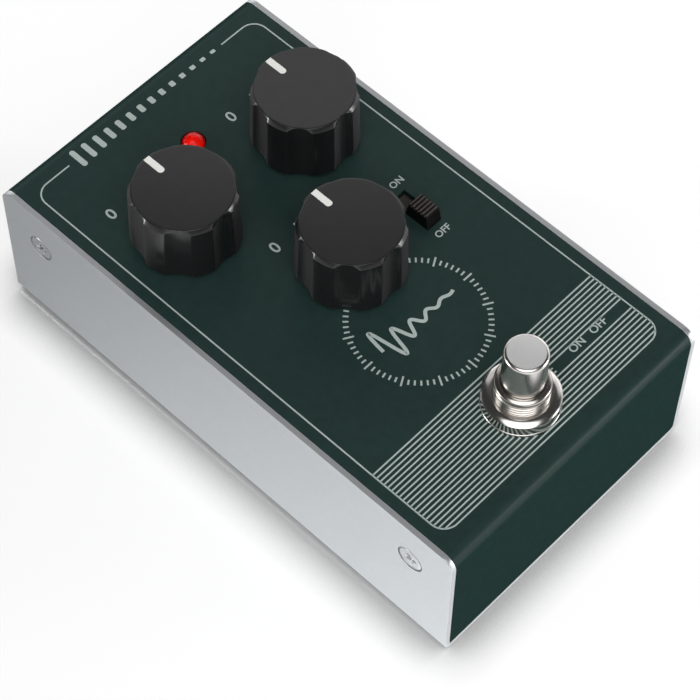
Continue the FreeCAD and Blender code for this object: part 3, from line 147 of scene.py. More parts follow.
def skinned(rings, name, ends=True):
    """A closed mesh over rings of corners, each joined to the next; without ends the last ring
    joins the first."""
    work = bmesh.new()
    rings = [[work.verts.new(corner) for corner in ring] for ring in rings]
    if ends:
        work.faces.new(rings[0])
        work.faces.new(rings[-1])
    else:
        rings.append(rings[0])
    for here, there in zip(rings, rings[1:]):
        for i in range(len(here)):
            j = (i + 1) % len(here)
            work.faces.new((here[i], here[j], there[j], there[i]))
    bmesh.ops.remove_doubles(work, verts=work.verts, dist=1e-4)
    bmesh.ops.recalc_face_normals(work, faces=work.faces)
    bmesh.ops.scale(work, vec=(MM, MM, MM), verts=work.verts)
    return from_bmesh(work, name)


def turned(profile, centre=(0, 0), segments=96, name="tool"):
    """A lathe piece about an upright axis, from a closed profile of (radius, height) rows."""
    return skinned([[(*place, height) for place in circle(*centre, radius, segments)]
                    for radius, height in profile], name, ends=False)


def pushed(outline, axis, low, high, name="tool"):
    """A prism of a closed outline, drawn in the plane across the axis."""
    turn = {"x": (2, 0, 1), "y": (0, 2, 1), "z": (0, 1, 2)}[axis]
    return skinned([[[(u, v, depth)[k] for k in turn] for u, v in outline] for depth in (low, high)], name)


def as_seen(thing):
    """The mesh that an object's modifiers make, or its letters."""
    return bpy.data.meshes.new_from_object(thing.evaluated_get(bpy.context.evaluated_depsgraph_get()))


def settle(thing):
    """Replace an object's mesh by what its modifiers make of it."""
    old = thing.data
    thing.data = as_seen(thing)
    thing.modifiers.clear()
    bpy.data.meshes.remove(old)
    return thing


def discard(*things):
    for thing in things:
        bpy.data.objects.remove(thing)


def shaped(thing, *tools, way="DIFFERENCE"):
    """Cut tools out of a piece, join them to it or keep what they share; the tools go."""
    for tool in tools:
        step = thing.modifiers.new("shape", "BOOLEAN")
        step.operation = way
        step.solver = "EXACT"
        step.object = tool
        settle(thing)
    discard(*tools)
    return thing


def moved(thing, matrix):
    thing.data.transform(matrix)
    return thing


def shift(x=0.0, y=0.0, z=0.0):
    return Matrix.Translation(Vector((x, y, z)) * MM)


def soften(thing, width, segments=3, angle=35):
    """Round every edge that turns by more than the angle."""
    step = thing.modifiers.new("soft", "BEVEL")
    step.width = width * MM
    step.segments = segments
    step.limit_method = "ANGLE"
    step.angle_limit = math.radians(angle)
    step.use_clamp_overlap = True
    return settle(thing)


def smooth(thing, angle=50):
    """Smooth shading with flat faces kept flat."""
    mesh = thing.data
    mesh.polygons.foreach_set("use_smooth", [True] * len(mesh.polygons))
    mesh.set_sharp_from_angle(angle=math.radians(angle))
    step = thing.modifiers.new("normals", "WEIGHTED_NORMAL")
    step.mode = "FACE_AREA"
    step.keep_sharp = True
    return settle(thing)


def merged(name, things):
    """One mesh object out of several."""
    work = bmesh.new()
    for thing in things:
        work.from_mesh(thing.data)
    discard(*things)
    return from_bmesh(work, name)


def place_piece(thing, body, slot, material, *replaced):
    """Give a finished piece its material, its body and the nodes that it stands for."""
    thing.data.materials.clear()
    thing.data.materials.append(material)
    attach(thing, body)
    if replaced:
        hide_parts(*replaced)


# Node trees, for surfaces and for repeats

class Value:
    """A node's output to reckon with: each sign between values adds a Math node."""

    def __init__(self, graph, socket):
        self.graph = graph
        self.socket = socket


for sign, operation in (("add", "ADD"), ("sub", "SUBTRACT"), ("mul", "MULTIPLY"), ("truediv", "DIVIDE"),
                        ("mod", "FLOORED_MODULO"), ("pow", "POWER")):
    setattr(Value, f"__{sign}__", lambda a, b, kind=operation: a.graph.math(kind, a, b))
    setattr(Value, f"__r{sign}__", lambda a, b, kind=operation: a.graph.math(kind, b, a))


class Graph:
    """Adds and links nodes with short calls."""

    def __init__(self, tree):
        self.tree = tree

    def feed(self, item, key, value):
        if isinstance(value, Value):
            self.tree.links.new(value.socket, item.inputs[key])
        else:
            item.inputs[key].default_value = value

    def node(self, kind, *values, **named):
        """A node. Values feed its inputs in order, capitalised names feed the inputs of that name
        and the other names are its settings."""
        item = self.tree.nodes.new(kind)
        for name, value in named.items():
            if name[0].islower():
                setattr(item, name, value)
        named = {name.replace("_", " "): value for name, value in named.items() if name[0].isupper()}
        for key, value in (*enumerate(values), *named.items()):
            self.feed(item, key, value)
        return item

    def outputs(self, item):
        return [Value(self, socket) for socket in item.outputs]

    def add(self, kind, *values, output=0, **named):
        """One output of a new node."""
        return Value(self, self.node(kind, *values, **named).outputs[output])

    def math(self, operation, *values):
        return self.add("ShaderNodeMath", *values, operation=operation)

    def root(self, value):
        return self.math("SQRT", self.math("MAXIMUM", value, 0.0))

    def vectors(self, operation, *values, output=0, **named):
        return self.add("ShaderNodeVectorMath", *values, operation=operation, output=output, **named)

    def vector(self, x, y, z):
        return self.add("ShaderNodeCombineXYZ", x, y, z)

    def parts(self, vector):
        return self.outputs(self.node("ShaderNodeSeparateXYZ", vector))

    def coordinates(self, kind="Object"):
        return self.add("ShaderNodeTexCoord", output=kind)

    def ramp(self, value, start, end, low=0.0, high=1.0, **settings):
        """Low up to start, high from end on, and even between them."""
        return self.add("ShaderNodeMapRange", value, start, end, low, high, **settings)

    def by_angle(self, *limits):
        """A ramp over how far the surface turns from the eye, from 0 face on to 1 edge on."""
        return self.ramp(self.add("ShaderNodeLayerWeight", 0.5, output="Facing"), *limits)

    def mix(self, share, first, second):
        """A blend of two colours."""
        item = self.node("ShaderNodeMix", share, data_type="RGBA")
        self.feed(item, 6, first)
        self.feed(item, 7, second)
        return Value(self, item.outputs[2])

    def noise(self, size, **named):
        """Noise whose grains have about that size in millimetres."""
        return self.add("ShaderNodeTexNoise", Scale=1.0 / MM / size, **named)

    def use(self, group, **values):
        """The outputs of a node group."""
        item = self.node("ShaderNodeGroup", node_tree=group)
        for name, value in values.items():
            self.feed(item, name.replace("_", " "), value)
        return self.outputs(item)

    def give(self, kind="NodeSocketFloat", **results):
        """End a group with its outputs."""
        for name in results:
            self.tree.interface.new_socket(name, in_out="OUTPUT", socket_type=kind)
        self.node("NodeGroupOutput", *results.values())
        return self.tree

    def copies(self, points, geometry, **named):
        return self.add("GeometryNodeInstanceOnPoints", points, Instance=geometry, **named)

    def close(self, given, geometry):
        """Every rule ends with real geometry that carries its material."""
        real = self.add("GeometryNodeRealizeInstances", geometry)
        painted = self.add("GeometryNodeSetMaterial", real, Material=given.material)
        return self.give("NodeSocketGeometry", geometry=painted)


SOCKETS = {float: "NodeSocketFloat", int: "NodeSocketInt", tuple: "NodeSocketVector"}
ORIGIN = (0, 0, 0)


def new_group(name, kind="ShaderNodeTree", **inputs):
    """A node group with named inputs, each given by its usual value or by its kind of socket."""
    tree = bpy.data.node_groups.new(name, kind)
    for word, value in inputs.items():
        socket = tree.interface.new_socket(word.replace("_", " "), in_out="INPUT",
                                           socket_type=SOCKETS.get(type(value), value))
        if type(value) in SOCKETS:
            socket.default_value = value
    graph = Graph(tree)
    given = graph.outputs(graph.node("NodeGroupInput"))
    return graph, SimpleNamespace(**dict(zip(inputs, given)))


def new_rule(name, **inputs):
    """A geometry tree: shapes or repeats the mesh that it is given."""
    return new_group(name, "GeometryNodeTree", geometry="NodeSocketGeometry",
                     material="NodeSocketMaterial", **inputs)


def grow(thing, tree, material, **values):
    """Run a rule on an object with values for its named inputs, and keep the mesh it makes."""
    step = thing.modifiers.new(tree.name, "NODES")
    step.node_group = tree
    values["material"] = material
    for item in tree.interface.items_tree:
        word = item.name.replace(" ", "_")
        if item.in_out == "INPUT" and word in values:
            step[item.identifier] = values[word]
    return settle(thing)


def metres(*lengths):
    return [length * MM for length in lengths]


# Surface groups

def make_grain_group():
    """Fine relief and tone of a surface: noise of one size, stretched along an axis if asked."""
    graph, given = new_group("surface_grain", size=0.3, stretch=(1, 1, 1))
    place = graph.vectors("MULTIPLY", graph.coordinates(), given.stretch)
    fine = graph.noise(given.size, Vector=place, Detail=3.0)
    coarse = graph.noise(given.size / 0.11, Vector=place, Detail=2.0)
    return graph.give(relief=fine, tone=(fine + coarse) * 0.5)


def make_edge_wear_and_shading_group():
    """Edges to recolour, for rubbed wear and for painted edge highlights and painted edge shade: the turn of
    the surface near each edge, broken up by noise.
    """
    graph, given = new_group("edge_wear", width=0.2, amount=0.5, patch=4.0)
    bent = graph.add("ShaderNodeBevel", given.width * MM, samples=4)
    normal = graph.add("ShaderNodeNewGeometry", output="Normal")
    edge = graph.ramp(graph.vectors("DOT_PRODUCT", bent, normal, output="Value"), 0.995, 0.9)
    patch = graph.ramp(graph.noise(given.patch, Vector=graph.coordinates(), Detail=5.0), 0.35, 0.7)
    return graph.give(mask=edge * patch * given.amount)


def make_handling_group():
    """Faint smudges that change the gloss over a few centimetres."""
    graph, given = new_group("handling", size=18.0, amount=0.1)
    noise = graph.noise(given.size, Vector=graph.coordinates(), Detail=6.0, Distortion=0.6)
    return graph.give(gloss=(noise - 0.5) * given.amount)


def make_turning_group():
    """Lathe marks: rings about an upright axis, uneven from ring to ring."""
    graph, given = new_group("turning_marks", centre=ORIGIN, pitch=0.08)
    x, y = graph.parts(graph.vectors("SUBTRACT", graph.coordinates(), given.centre))[:2]
    radius = graph.root(x * x + y * y)
    return graph.give(relief=graph.noise(given.pitch, noise_dimensions="1D", W=radius, Detail=2.0))


def make_top_group():
    """A mask for faces that look straight up, and with ends also along the case."""
    graph, given = new_group("flat_top", start=0.98, ends=0.0)
    along, up = graph.parts(graph.coordinates("Normal"))[1:]
    facing = graph.math("MAXIMUM", up, graph.math("ABSOLUTE", along) * given.ends)
    return graph.give(mask=graph.ramp(facing, given.start, 0.999))


GRAIN = make_grain_group()
EDGE_WEAR_AND_SHADING = make_edge_wear_and_shading_group()
HANDLING = make_handling_group()
TURNING = make_turning_group()
FLAT_TOP = make_top_group()


def screen(red, green, blue):
    """A colour given as it shows on a screen, each part from 0 to 255."""
    parts = [channel / 255 for channel in (red, green, blue)]
    return (*(part / 12.92 if part <= 0.04045 else ((part + 0.055) / 1.055) ** 2.4 for part in parts), 1.0)


def new_material(name):
    material = bpy.data.materials.new(name)
    material.use_nodes = True
    return material, Graph(material.node_tree)


def finish(name, colour, roughness, metallic=0.0, grain=0.3, stretch=(1, 1, 1), relief=0.01, tone=0.06,
           wear_and_edge_shading=0.3, wear_width=0.15, wear_and_edge_shading_colour=None, gloss=0.12, top=None, ends=0.0, turning=None,
           satin=0.0, grazed=0.0, glow=None, **sockets):
    """A surface: its colour with tone from the grain, edges recoloured as rubbed wear, painted edge highlight
    and painted edge shade, uneven gloss and fine relief.

    Colours are as they show on a screen. top is a second (colour, roughness) for faces that look up,
    with ends also for those that look along the case; turning is the (x, y) of a lathe axis; satin is
    a thin gloss that is lost where the surface is seen at a low angle, grazed the roughness gained
    there; glow is a colour given off where the surface faces the eye, fading to black as the surface
    turns away, which paints shade on a dome's rim.
    """
    material, graph = new_material(name)
    relief_here, tone_here = graph.use(GRAIN, size=grain, stretch=stretch)
    # Edges are recoloured: rubbed wear on most finishes, a painted highlight on the aluminium and painted
    # shade on the screws.
    edge_wear_and_shading_mask, = graph.use(EDGE_WEAR_AND_SHADING, width=wear_width, amount=wear_and_edge_shading)
    smudged, = graph.use(HANDLING, amount=gloss)
    plain = screen(*colour)
    edge_tint = screen(*wear_and_edge_shading_colour) if wear_and_edge_shading_colour else (*(min(1.0, part * 1.6 + 0.02) for part in plain[:3]), 1.0)
    base = plain[:3]
    if top:
        flat, = graph.use(FLAT_TOP, ends=ends)
        base = graph.mix(flat, plain, screen(*top[0]))
        roughness = graph.ramp(flat, 0.0, 1.0, roughness, top[1])
    if grazed:
        roughness = roughness + graph.by_angle(0.5, 0.68, 0.0, grazed)
    if turning:
        marks, = graph.use(TURNING, centre=metres(*turning, 0))
        relief_here = relief_here * 0.3 + marks
    toned = graph.vectors("SCALE", base, Scale=graph.ramp(tone_here, 0.3, 0.7, 1 - tone, 1 + tone))
    sockets |= {
        "Base_Color": graph.mix(edge_wear_and_shading_mask, toned, edge_tint), "Metallic": metallic,
        "Roughness": graph.math("MAXIMUM", roughness + smudged, 0.03),
        "Normal": graph.add("ShaderNodeBump", Strength=1.0, Distance=relief * MM, Height=relief_here)}
    if satin:
        sockets["Coat_Weight"] = graph.by_angle(0.3, 0.5, satin, 0.0)
    # The glow fades to black where the surface turns from the eye: painted shade on the rim.
    if glow:
        sockets["Emission_Color"] = graph.mix(graph.by_angle(0.1, 0.6), screen(*glow), (0, 0, 0, 1))
    for socket, value in sockets.items():
        graph.feed(graph.tree.nodes["Principled BSDF"], socket.replace("_", " "), value)
    return material


# Finishes

POWDER_COAT = finish("green_powder_coat", (36, 55, 52), 0.6, grain=0.25, relief=0.012, tone=0.12, wear_and_edge_shading=0.10,
                     wear_width=0.25, wear_and_edge_shading_colour=(70, 84, 82), satin=0.36, Specular_IOR_Level=0.0,
                     Coat_Roughness=0.3)
# Its edges are lightened almost to white as a painted edge highlight.
ALUMINIUM = finish("blasted_aluminium", (206, 210, 213), 0.36, metallic=0.9, grain=0.16, relief=0.008,
                   tone=0.025, wear_and_edge_shading=0.9, wear_width=0.25, wear_and_edge_shading_colour=(244, 246, 247), gloss=0.06,
                   top=((200, 202, 204), 0.4), ends=1.0)
NICKEL = finish("polished_nickel", (204, 201, 198), 0.17, metallic=1.0, grain=0.6, relief=0.0008,
                tone=0.03, wear_and_edge_shading=0.1, gloss=0.08)
CAP_NICKEL = finish("push_cap_nickel", (206, 203, 199), 0.2, metallic=1.0, grain=0.5, relief=0.0012,
                    tone=0.04, wear_and_edge_shading=0.1, gloss=0.08, top=((240, 240, 240), 0.5), turning=switch_axis)
THREADED_NICKEL = finish("threaded_nickel", (186, 181, 175), 0.2, metallic=1.0, grain=0.4, relief=0.002,
                         wear_and_edge_shading=0.2)
# Its edges, round the head and in the cross recess, are darkened strongly as painted shade.
SCREW_STEEL = finish("bright_screw_steel", (206, 208, 210), 0.3, metallic=1.0, relief=0.002, tone=0.05,
                     wear_and_edge_shading=5.0, wear_width=0.25, wear_and_edge_shading_colour=(40, 41, 43))
# The flat tops are smoother, and lighter than the sides as a painted sheen.
KNOB_BLACK = finish("knob_black", (23, 23, 24), 0.2, relief=0.002, tone=0.08, wear_and_edge_shading=0.15, wear_width=0.2,
                    wear_and_edge_shading_colour=(48, 48, 50), top=((43, 43, 44), 0.12), gloss=0.04, grazed=0.6)
WHITE_FILL = finish("pointer_white", (240, 240, 235), 0.45, grain=0.2, relief=0.003, tone=0.03, wear_and_edge_shading=0.0)
PRINT = finish("pale_print", (176, 188, 184), 0.5, grain=0.15, relief=0.002, wear_and_edge_shading=0.0)
# Faces that look up are much lighter, as painted light from above; its edges are lightened too.
BLACK_PLASTIC = finish("black_moulding", (11, 10, 10), 0.5, grain=0.2, relief=0.006, tone=0.10, wear_and_edge_shading=0.8,
                       wear_width=0.08, wear_and_edge_shading_colour=(92, 84, 82), top=((76, 71, 69), 0.5),
                       Specular_IOR_Level=0.15)
# The lens glows as a lit lamp, its glow fading towards the rim as painted shade.
LAMP_RED = finish("clear_red", (170, 4, 4), 0.08, grain=0.8, relief=0.16, tone=0.9, wear_and_edge_shading=0.0, gloss=0.03,
                  glow=(255, 26, 10), Specular_IOR_Level=0.2, Emission_Strength=0.5)
RUBBER = finish("foot_rubber", (34, 34, 34), 0.8, relief=0.02, tone=0.12, wear_and_edge_shading=0.1)
SOLDER_MASK = finish("board_green", (20, 84, 52), 0.35, grain=0.5, relief=0.004, tone=0.1, wear_and_edge_shading=0.05)
ZINC = finish("zinc_steel", (186, 186, 184), 0.32, metallic=1.0, grain=0.4, relief=0.004)
BRASS = finish("contact_brass", (206, 172, 96), 0.28, metallic=1.0, relief=0.003)
LAMINATE = finish("brown_laminate", (98, 60, 34), 0.55, grain=0.4, relief=0.006, tone=0.15)
BLUE_MOULDING = finish("blue_moulding", (34, 72, 132), 0.4, grain=0.25, relief=0.005, tone=0.08)
WHITE_MOULDING = finish("white_moulding", (222, 222, 214), 0.4, grain=0.25, relief=0.005, tone=0.04)
VINYL = finish("grey_vinyl", (142, 142, 146), 0.45, grain=0.6, stretch=(6, 1, 1), relief=0.02, tone=0.08)


# Rules that shape or repeat a mesh

def make_row_rule():
    """The given mesh at even steps from a start, each copy shorter along y than the last by a share."""
    graph, given = new_rule("row", count=2, start=ORIGIN, step=ORIGIN, keep=1.0)
    line = graph.add("GeometryNodeMeshLine", mode="OFFSET", Count=given.count, Start_Location=given.start,
                     Offset=given.step)
    length = given.keep ** graph.add("GeometryNodeInputIndex")
    return graph.close(given, graph.copies(line, given.geometry, Scale=graph.vector(1.0, length, 1.0)))


def make_half_turn_rule():
    """The given mesh and its copy turned by half a turn about an upright axis."""
    graph, given = new_rule("half_turn", axis=ORIGIN)
    copy = graph.add("GeometryNodeTransform", given.geometry, Rotation=(0, 0, math.pi),
                     Translation=graph.vectors("SCALE", given.axis, Scale=2.0))
    both = graph.node("GeometryNodeJoinGeometry", given.geometry)
    graph.feed(both, 0, copy)
    return graph.close(given, graph.outputs(both)[0])


def make_ring_rule():
    """The given mesh round a centre; every so many copies keeps its length, the others are shorter."""
    graph, given = new_rule("ring", count=12, centre=ORIGIN, radius=0.01, long_every=4, short_scale=0.5)
    places = graph.add("GeometryNodeMeshCircle", Vertices=given.count, Radius=given.radius)
    index = graph.add("GeometryNodeInputIndex")
    turn = index * (2 * math.pi) / given.count
    short = graph.math("MINIMUM", index % given.long_every, 1.0)
    length = graph.ramp(short, 0.0, 1.0, 1.0, given.short_scale)
    copies = graph.copies(places, given.geometry, Rotation=graph.vector(0.0, 0.0, turn),
                          Scale=graph.vector(length, 1.0, 1.0))
    return graph.close(given, graph.add("GeometryNodeTransform", copies, Translation=given.centre))


def make_stripe_rule():
    """Lines across the panel, each cut to the border's rounded corner; some stop short on the right.

    The given mesh is one line of unit length centred on the origin, at its height on the panel.
    """
    graph, given = new_rule("stripes", count=19, first=0.0, pitch=0.001, half_width=0.033, corner=0.0036,
                            edge=0.0, gap_from=8, gap_to=9, gap_end=0.0105)
    index = graph.add("GeometryNodeInputIndex")
    y = given.first + index * given.pitch
    drop = graph.math("MAXIMUM", given.corner - (y - given.edge), 0.0)
    left = given.half_width - (given.corner - graph.root(given.corner * given.corner - drop * drop))
    after = graph.math("GREATER_THAN", index, given.gap_from - 0.5)
    before = graph.math("LESS_THAN", index, given.gap_to + 0.5)
    right = graph.ramp(after * before, 0.0, 1.0, left, given.gap_end)
    line = graph.add("GeometryNodeMeshLine", mode="OFFSET", Count=given.count)
    laid = graph.add("GeometryNodeSetPosition", line, Position=graph.vector((right - left) * 0.5, y, 0.0))
    return graph.close(given, graph.copies(laid, given.geometry, Scale=graph.vector(left + right, 1.0, 1.0)))


def polar(graph, axis):
    """Each point's offset from an upright axis, its distance from it and its angle about it."""
    x, y, z = graph.parts(graph.vectors("SUBTRACT", graph.add("GeometryNodeInputPosition"), axis))
    return x, y, z, graph.root(x * x + y * y), graph.math("ARCTAN2", y, x)


def close_moved_out(graph, given, x, y, radius, new_radius):
    """End a rule that changes each point's distance from the axis."""
    share = new_radius / graph.math("MAXIMUM", radius, 1e-6) - 1.0
    return graph.close(given, graph.add("GeometryNodeSetPosition", given.geometry,
                                        Offset=graph.vector(x * share, y * share, 0.0)))


def make_flute_rule():
    """Scallops round a turned knob: each is a tapered round cutter set beside the skirt."""
    graph, given = new_rule("flutes", count=7, axis=ORIGIN, cutter_distance=0.014, radius_foot=0.00325,
                            radius_top=0.0038, height=0.0154, first=0.0, soft=0.00025, face_radius=0.0108,
                            pull_from=0.0095)
    x, y, z, radius, angle = polar(graph, given.axis)
    pitch = 2 * math.pi / given.count
    half = pitch * 0.5
    off = (angle - given.first + half) % pitch - half
    cutter = graph.ramp(z, 0.0, given.height, given.radius_foot, given.radius_top)
    beside = given.cutter_distance * graph.math("SINE", off)
    wall = given.cutter_distance * graph.math("COSINE", off) - graph.root(cutter * cutter - beside * beside)
    # the face's rim moves in with the wall below it, so its rounding stays even
    outer = graph.math("MAXIMUM", radius, given.face_radius)
    pulled = graph.math("SMOOTH_MIN", outer, wall, given.soft) - outer
    share = graph.ramp(radius, given.pull_from, given.pull_from + MM)
    return close_moved_out(graph, given, x, y, radius, radius + pulled * share)


def make_thread_rule():
    """A screw thread on a turned piece between two heights, faded out at both ends."""
    graph, given = new_rule("thread", axis=ORIGIN, low=0.0, high=0.01, pitch=0.0008, depth=0.0004,
                            outside_from=0.005)
    x, y, z, radius, angle = polar(graph, given.axis)
    phase = graph.math("FRACT", z / given.pitch - angle / (2 * math.pi))
    tooth = graph.ramp(graph.math("ABSOLUTE", phase * 2.0 - 1.0), 0.15, 0.85)
    rise = graph.ramp(z, given.low, given.low + given.pitch)
    fall = graph.ramp(z, given.high, given.high - given.pitch)
    share = rise * fall * (tooth * graph.math("GREATER_THAN", radius, given.outside_from))
    return close_moved_out(graph, given, x, y, radius, radius - share * given.depth)


def make_coil_rule():
    """A wire wound upwards about an axis; it stands in for the mesh that it is given."""
    graph, given = new_rule("coil", start=ORIGIN, turns=4.0, radius=0.003, wire=0.00035, height=0.007)
    path = graph.add("GeometryNodeCurveSpiral", Resolution=40, Rotations=given.turns,
                     Start_Radius=given.radius, End_Radius=given.radius, Height=given.height)
    wire = graph.add("GeometryNodeCurvePrimitiveCircle", Resolution=12, Radius=given.wire)
    tube = graph.add("GeometryNodeCurveToMesh", path, Profile_Curve=wire, Fill_Caps=True)
    return graph.close(given, graph.add("GeometryNodeTransform", tube, Translation=given.start))


ROW = make_row_rule()
HALF_TURN = make_half_turn_rule()
RING = make_ring_rule()
STRIPES = make_stripe_rule()
FLUTES = make_flute_rule()
THREAD = make_thread_rule()
COIL = make_coil_rule()


# Case

SCREW_HEAD = 2.95
SCREW_SHANK = 1.45
SCREW_LENGTH = 5.6
SCREW_SUNK = 0.05
COUNTERSINK = 3.3
CROSS_TURN = math.radians(20)
QUARTER = math.pi / 2
screws_low, screws_high = box("case_screws")
screw_z = (screws_low.z + screws_high.z) / 2
screw_ys = (screws_low.y + SCREW_HEAD, screws_high.y - SCREW_HEAD)


def seen_from_side(low, inset=0.0, steps=16):
    """The case's outline from the side, from a height up to the panel and its two folds."""
    front, rear, top, fold = FRONT + inset, REAR - inset, PANEL - inset, COVER_FOLD - inset
    return rounded([(front, low, 0), (rear, low, 0), (rear, top, fold), (front, top, fold)], steps)


def make_chassis():
    """The folded U: floor and two side plates, countersunk for the screws."""
    low, inside, bend = case_low.z, SIDE - METAL, CHASSIS_FOLD - METAL
    outline = rounded([(-SIDE, PANEL, 0), (-SIDE, low, CHASSIS_FOLD), (SIDE, low, CHASSIS_FOLD),
                       (SIDE, PANEL, 0), (inside, PANEL, 0), (inside, low + METAL, bend),
                       (-inside, low + METAL, bend), (-inside, PANEL, 0)], 10)
    shell = pushed(outline, "y", FRONT, REAR, "chassis")
    shaped(shell, pushed(seen_from_side(low - 1), "x", -SIDE - 1, SIDE + 1), way="INTERSECT")
    over, mouth = 0.2, 0.5
    deep = METAL + over
    seat = [(0, -deep), (COUNTERSINK + mouth - deep, -deep), (COUNTERSINK, -mouth), (COUNTERSINK, over),
            (0, over)]
    for y in screw_ys:
        for turn in (-1, 1):
            way = shift(turn * SIDE, y, screw_z) @ Matrix.Rotation(turn * QUARTER, 4, "Y")
            shaped(shell, moved(turned(seat, segments=64), way))
    soften(shell, 0.12)
    place_piece(smooth(shell), "case", "case_metal", ALUMINIUM, "chassis_base")


def make_cover():
    """The folded lid with its side flanges and the holes for controls and sockets."""
    lip, half, corner = cover_low.z, cover_high.x, 1.0
    lid = pushed(seen_from_side(lip), "x", -half, half, "lid")
    shaped(lid, pushed(seen_from_side(lip - 1, METAL, 10), "x", -half - 1, half + 1))
    # the walls' lower corners follow the chassis folds
    face = rounded([(-half, lip, corner), (half, lip, corner), (half, PANEL + 1, 0),
                    (-half, PANEL + 1, 0)], 6)
    shaped(lid, pushed(face, "y", FRONT - 1, REAR + 1), way="INTERSECT")
    flange_depth, flange_low, flange_high, clear = 16.5, 5.1, 34.0, 0.5
    for x_low, x_high in ((-half, METAL - half), (half - METAL, half)):
        for y_low, y_high in ((FRONT + clear, FRONT + flange_depth), (REAR - flange_depth, REAR - clear)):
            flange = pushed(rectangle(x_low, x_high, y_low, y_high), "z", flange_low, flange_high)
            shaped(lid, flange, way="UNION")
    knob_hole, lamp_hole, switch_hole = 3.6, 2.8, 6.0
    slot_x, slot_y, slot_width, slot_length = 19.95, -3.49, 4.3, 10.8
    holes = [circle(*middle(f"pot_cover_{name}")[:2], knob_hole) for name in KNOBS]
    holes += [circle(*lamp_axis, lamp_hole), circle(*switch_axis, switch_hole),
              rectangle(slot_x - slot_width / 2, slot_x + slot_width / 2,
                        slot_y - slot_length / 2, slot_y + slot_length / 2, 0.15, 2)]
    for hole in holes:
        shaped(lid, pushed(hole, "z", PANEL - 2, PANEL + 1))
    for node_name, radius in (("input_jack", 4.6), ("output_jack", 4.6), ("dc_jack_pin", 4.5)):
        place = socket_axis(node_name)
        shaped(lid, pushed(circle(place.x, place.z, radius), "y", REAR - 2, REAR + 1))
    screw_hole = 1.75
    for y in screw_ys:
        shaped(lid, pushed(circle(y, screw_z, screw_hole, 32), "x", -half - 1, half + 1))
    soften(lid, 0.14, angle=40)
    place_piece(smooth(lid), "case", "cover_paint", POWDER_COAT, "top_cover")


def socket_axis(node_name):
    """The jacks hang below the board, so their axis isn't the middle of their box."""
    place = middle(node_name)
    if node_name != "dc_jack_pin":
        place.z = middle("jack_nuts").z
    return place


def cross_recess(depth, reach):
    """A cutter for a cross-head recess in a head whose face is at height nought."""
    half_width, floor, over = 0.4, reach * 0.7, 0.3
    flat = [(-reach, over), (reach, over), (floor, -depth), (-floor, -depth)]
    blade, other = (pushed(flat, "y", -half_width, half_width) for _ in range(2))
    return shaped(blade, moved(other, Matrix.Rotation(QUARTER, 4, "Z")), way="UNION")


def make_case_screws():
    """One countersunk screw, repeated along one plate and then turned round to the other."""
    neck, tip = SCREW_HEAD - SCREW_SHANK, 0.2
    profile = [(0, 0), (SCREW_HEAD - 0.12, 0), (SCREW_HEAD, -0.1), (SCREW_SHANK, -neck),
               (SCREW_SHANK, tip - SCREW_LENGTH), (SCREW_SHANK - tip, -SCREW_LENGTH), (0, -SCREW_LENGTH)]
    screw = shaped(turned(profile, segments=64, name="screw"), cross_recess(depth=1.2, reach=1.6))
    soften(screw, 0.06, 2, 40)
    moved(screw, Matrix.Rotation(CROSS_TURN, 4, "Z"))
    moved(screw, Matrix.Rotation(QUARTER, 4, "Y"))
    grow(screw, ROW, SCREW_STEEL, start=metres(SIDE - SCREW_SUNK, screw_ys[0], screw_z),
         step=metres(0, screw_ys[1] - screw_ys[0], 0))
    grow(screw, HALF_TURN, SCREW_STEEL, axis=metres(0, (FRONT + REAR) / 2, 0))
    place_piece(smooth(screw, 40), "case", "screw_steel", SCREW_STEEL, "case_screws")


def make_feet():
    """Four stick-on feet, repeated from one."""
    low, high = box("rubber_feet")
    radius, soft = 6.0, 0.25
    profile = rounded([(0, high.z, 0), (0, 0, 0), (radius - soft, 0, soft), (radius, high.z, 0)], 4)
    foot = smooth(turned(profile, segments=64, name="feet"))
    grow(foot, ROW, RUBBER, start=metres(low.x + radius, low.y + radius, 0),
         step=metres(high.x - low.x - 2 * radius, 0, 0))
    grow(foot, ROW, RUBBER, step=metres(0, high.y - low.y - 2 * radius, 0))
    place_piece(foot, "case", "foot_rubber", RUBBER, "rubber_feet")


make_chassis()
make_cover()
make_case_screws()
make_feet()


# Sockets in the rear wall

BORE = 3.2
BORE_LENGTH = 30.6
BUSHING = 4.5
BUSHING_HOLE = BUSHING + 0.05


def lying(thing, x, y, z):
    """Turn a piece drawn upright so that its top faces the rear, and put its origin in place."""
    return moved(thing, shift(x, y, z) @ Matrix.Rotation(-QUARTER, 4, "X"))


def make_jacks(left, right):
    """Two moulded sockets, each a block with a threaded bushing and one long bore."""
    low, high = box("input_jack")
    block_end = REAR - METAL
    block = pushed(rectangle(low.x, high.x, low.z, high.z, 0.8, 4), "y", low.y, block_end, "jacks")
    soften(block, 0.3)
    length = high.y - block_end
    side = stepped((BUSHING, -1), (BUSHING, length - 0.3), 60)
    bushing = turned([(0, -1), *side, (BUSHING - 0.3, length), (0, length)])
    grow(bushing, THREAD, BLACK_PLASTIC, low=MM * 0.2, high=MM * (length - 0.1), pitch=MM * 0.75,
         depth=MM * 0.3, outside_from=MM * 4.4)
    bore = turned([(0, length + 1), (BORE + 1.25, length + 1), (BORE, length - 0.25),
                   (BORE, length - BORE_LENGTH), (0, length - BORE_LENGTH)])
    shaped(block, lying(bushing, right.x, block_end, right.z), way="UNION")
    shaped(block, lying(bore, right.x, block_end, right.z))
    grow(block, ROW, BLACK_PLASTIC, step=metres(left.x - right.x, 0, 0))
    place_piece(smooth(block, 40), "case", "black_plastic", BLACK_PLASTIC, "input_jack", "output_jack")


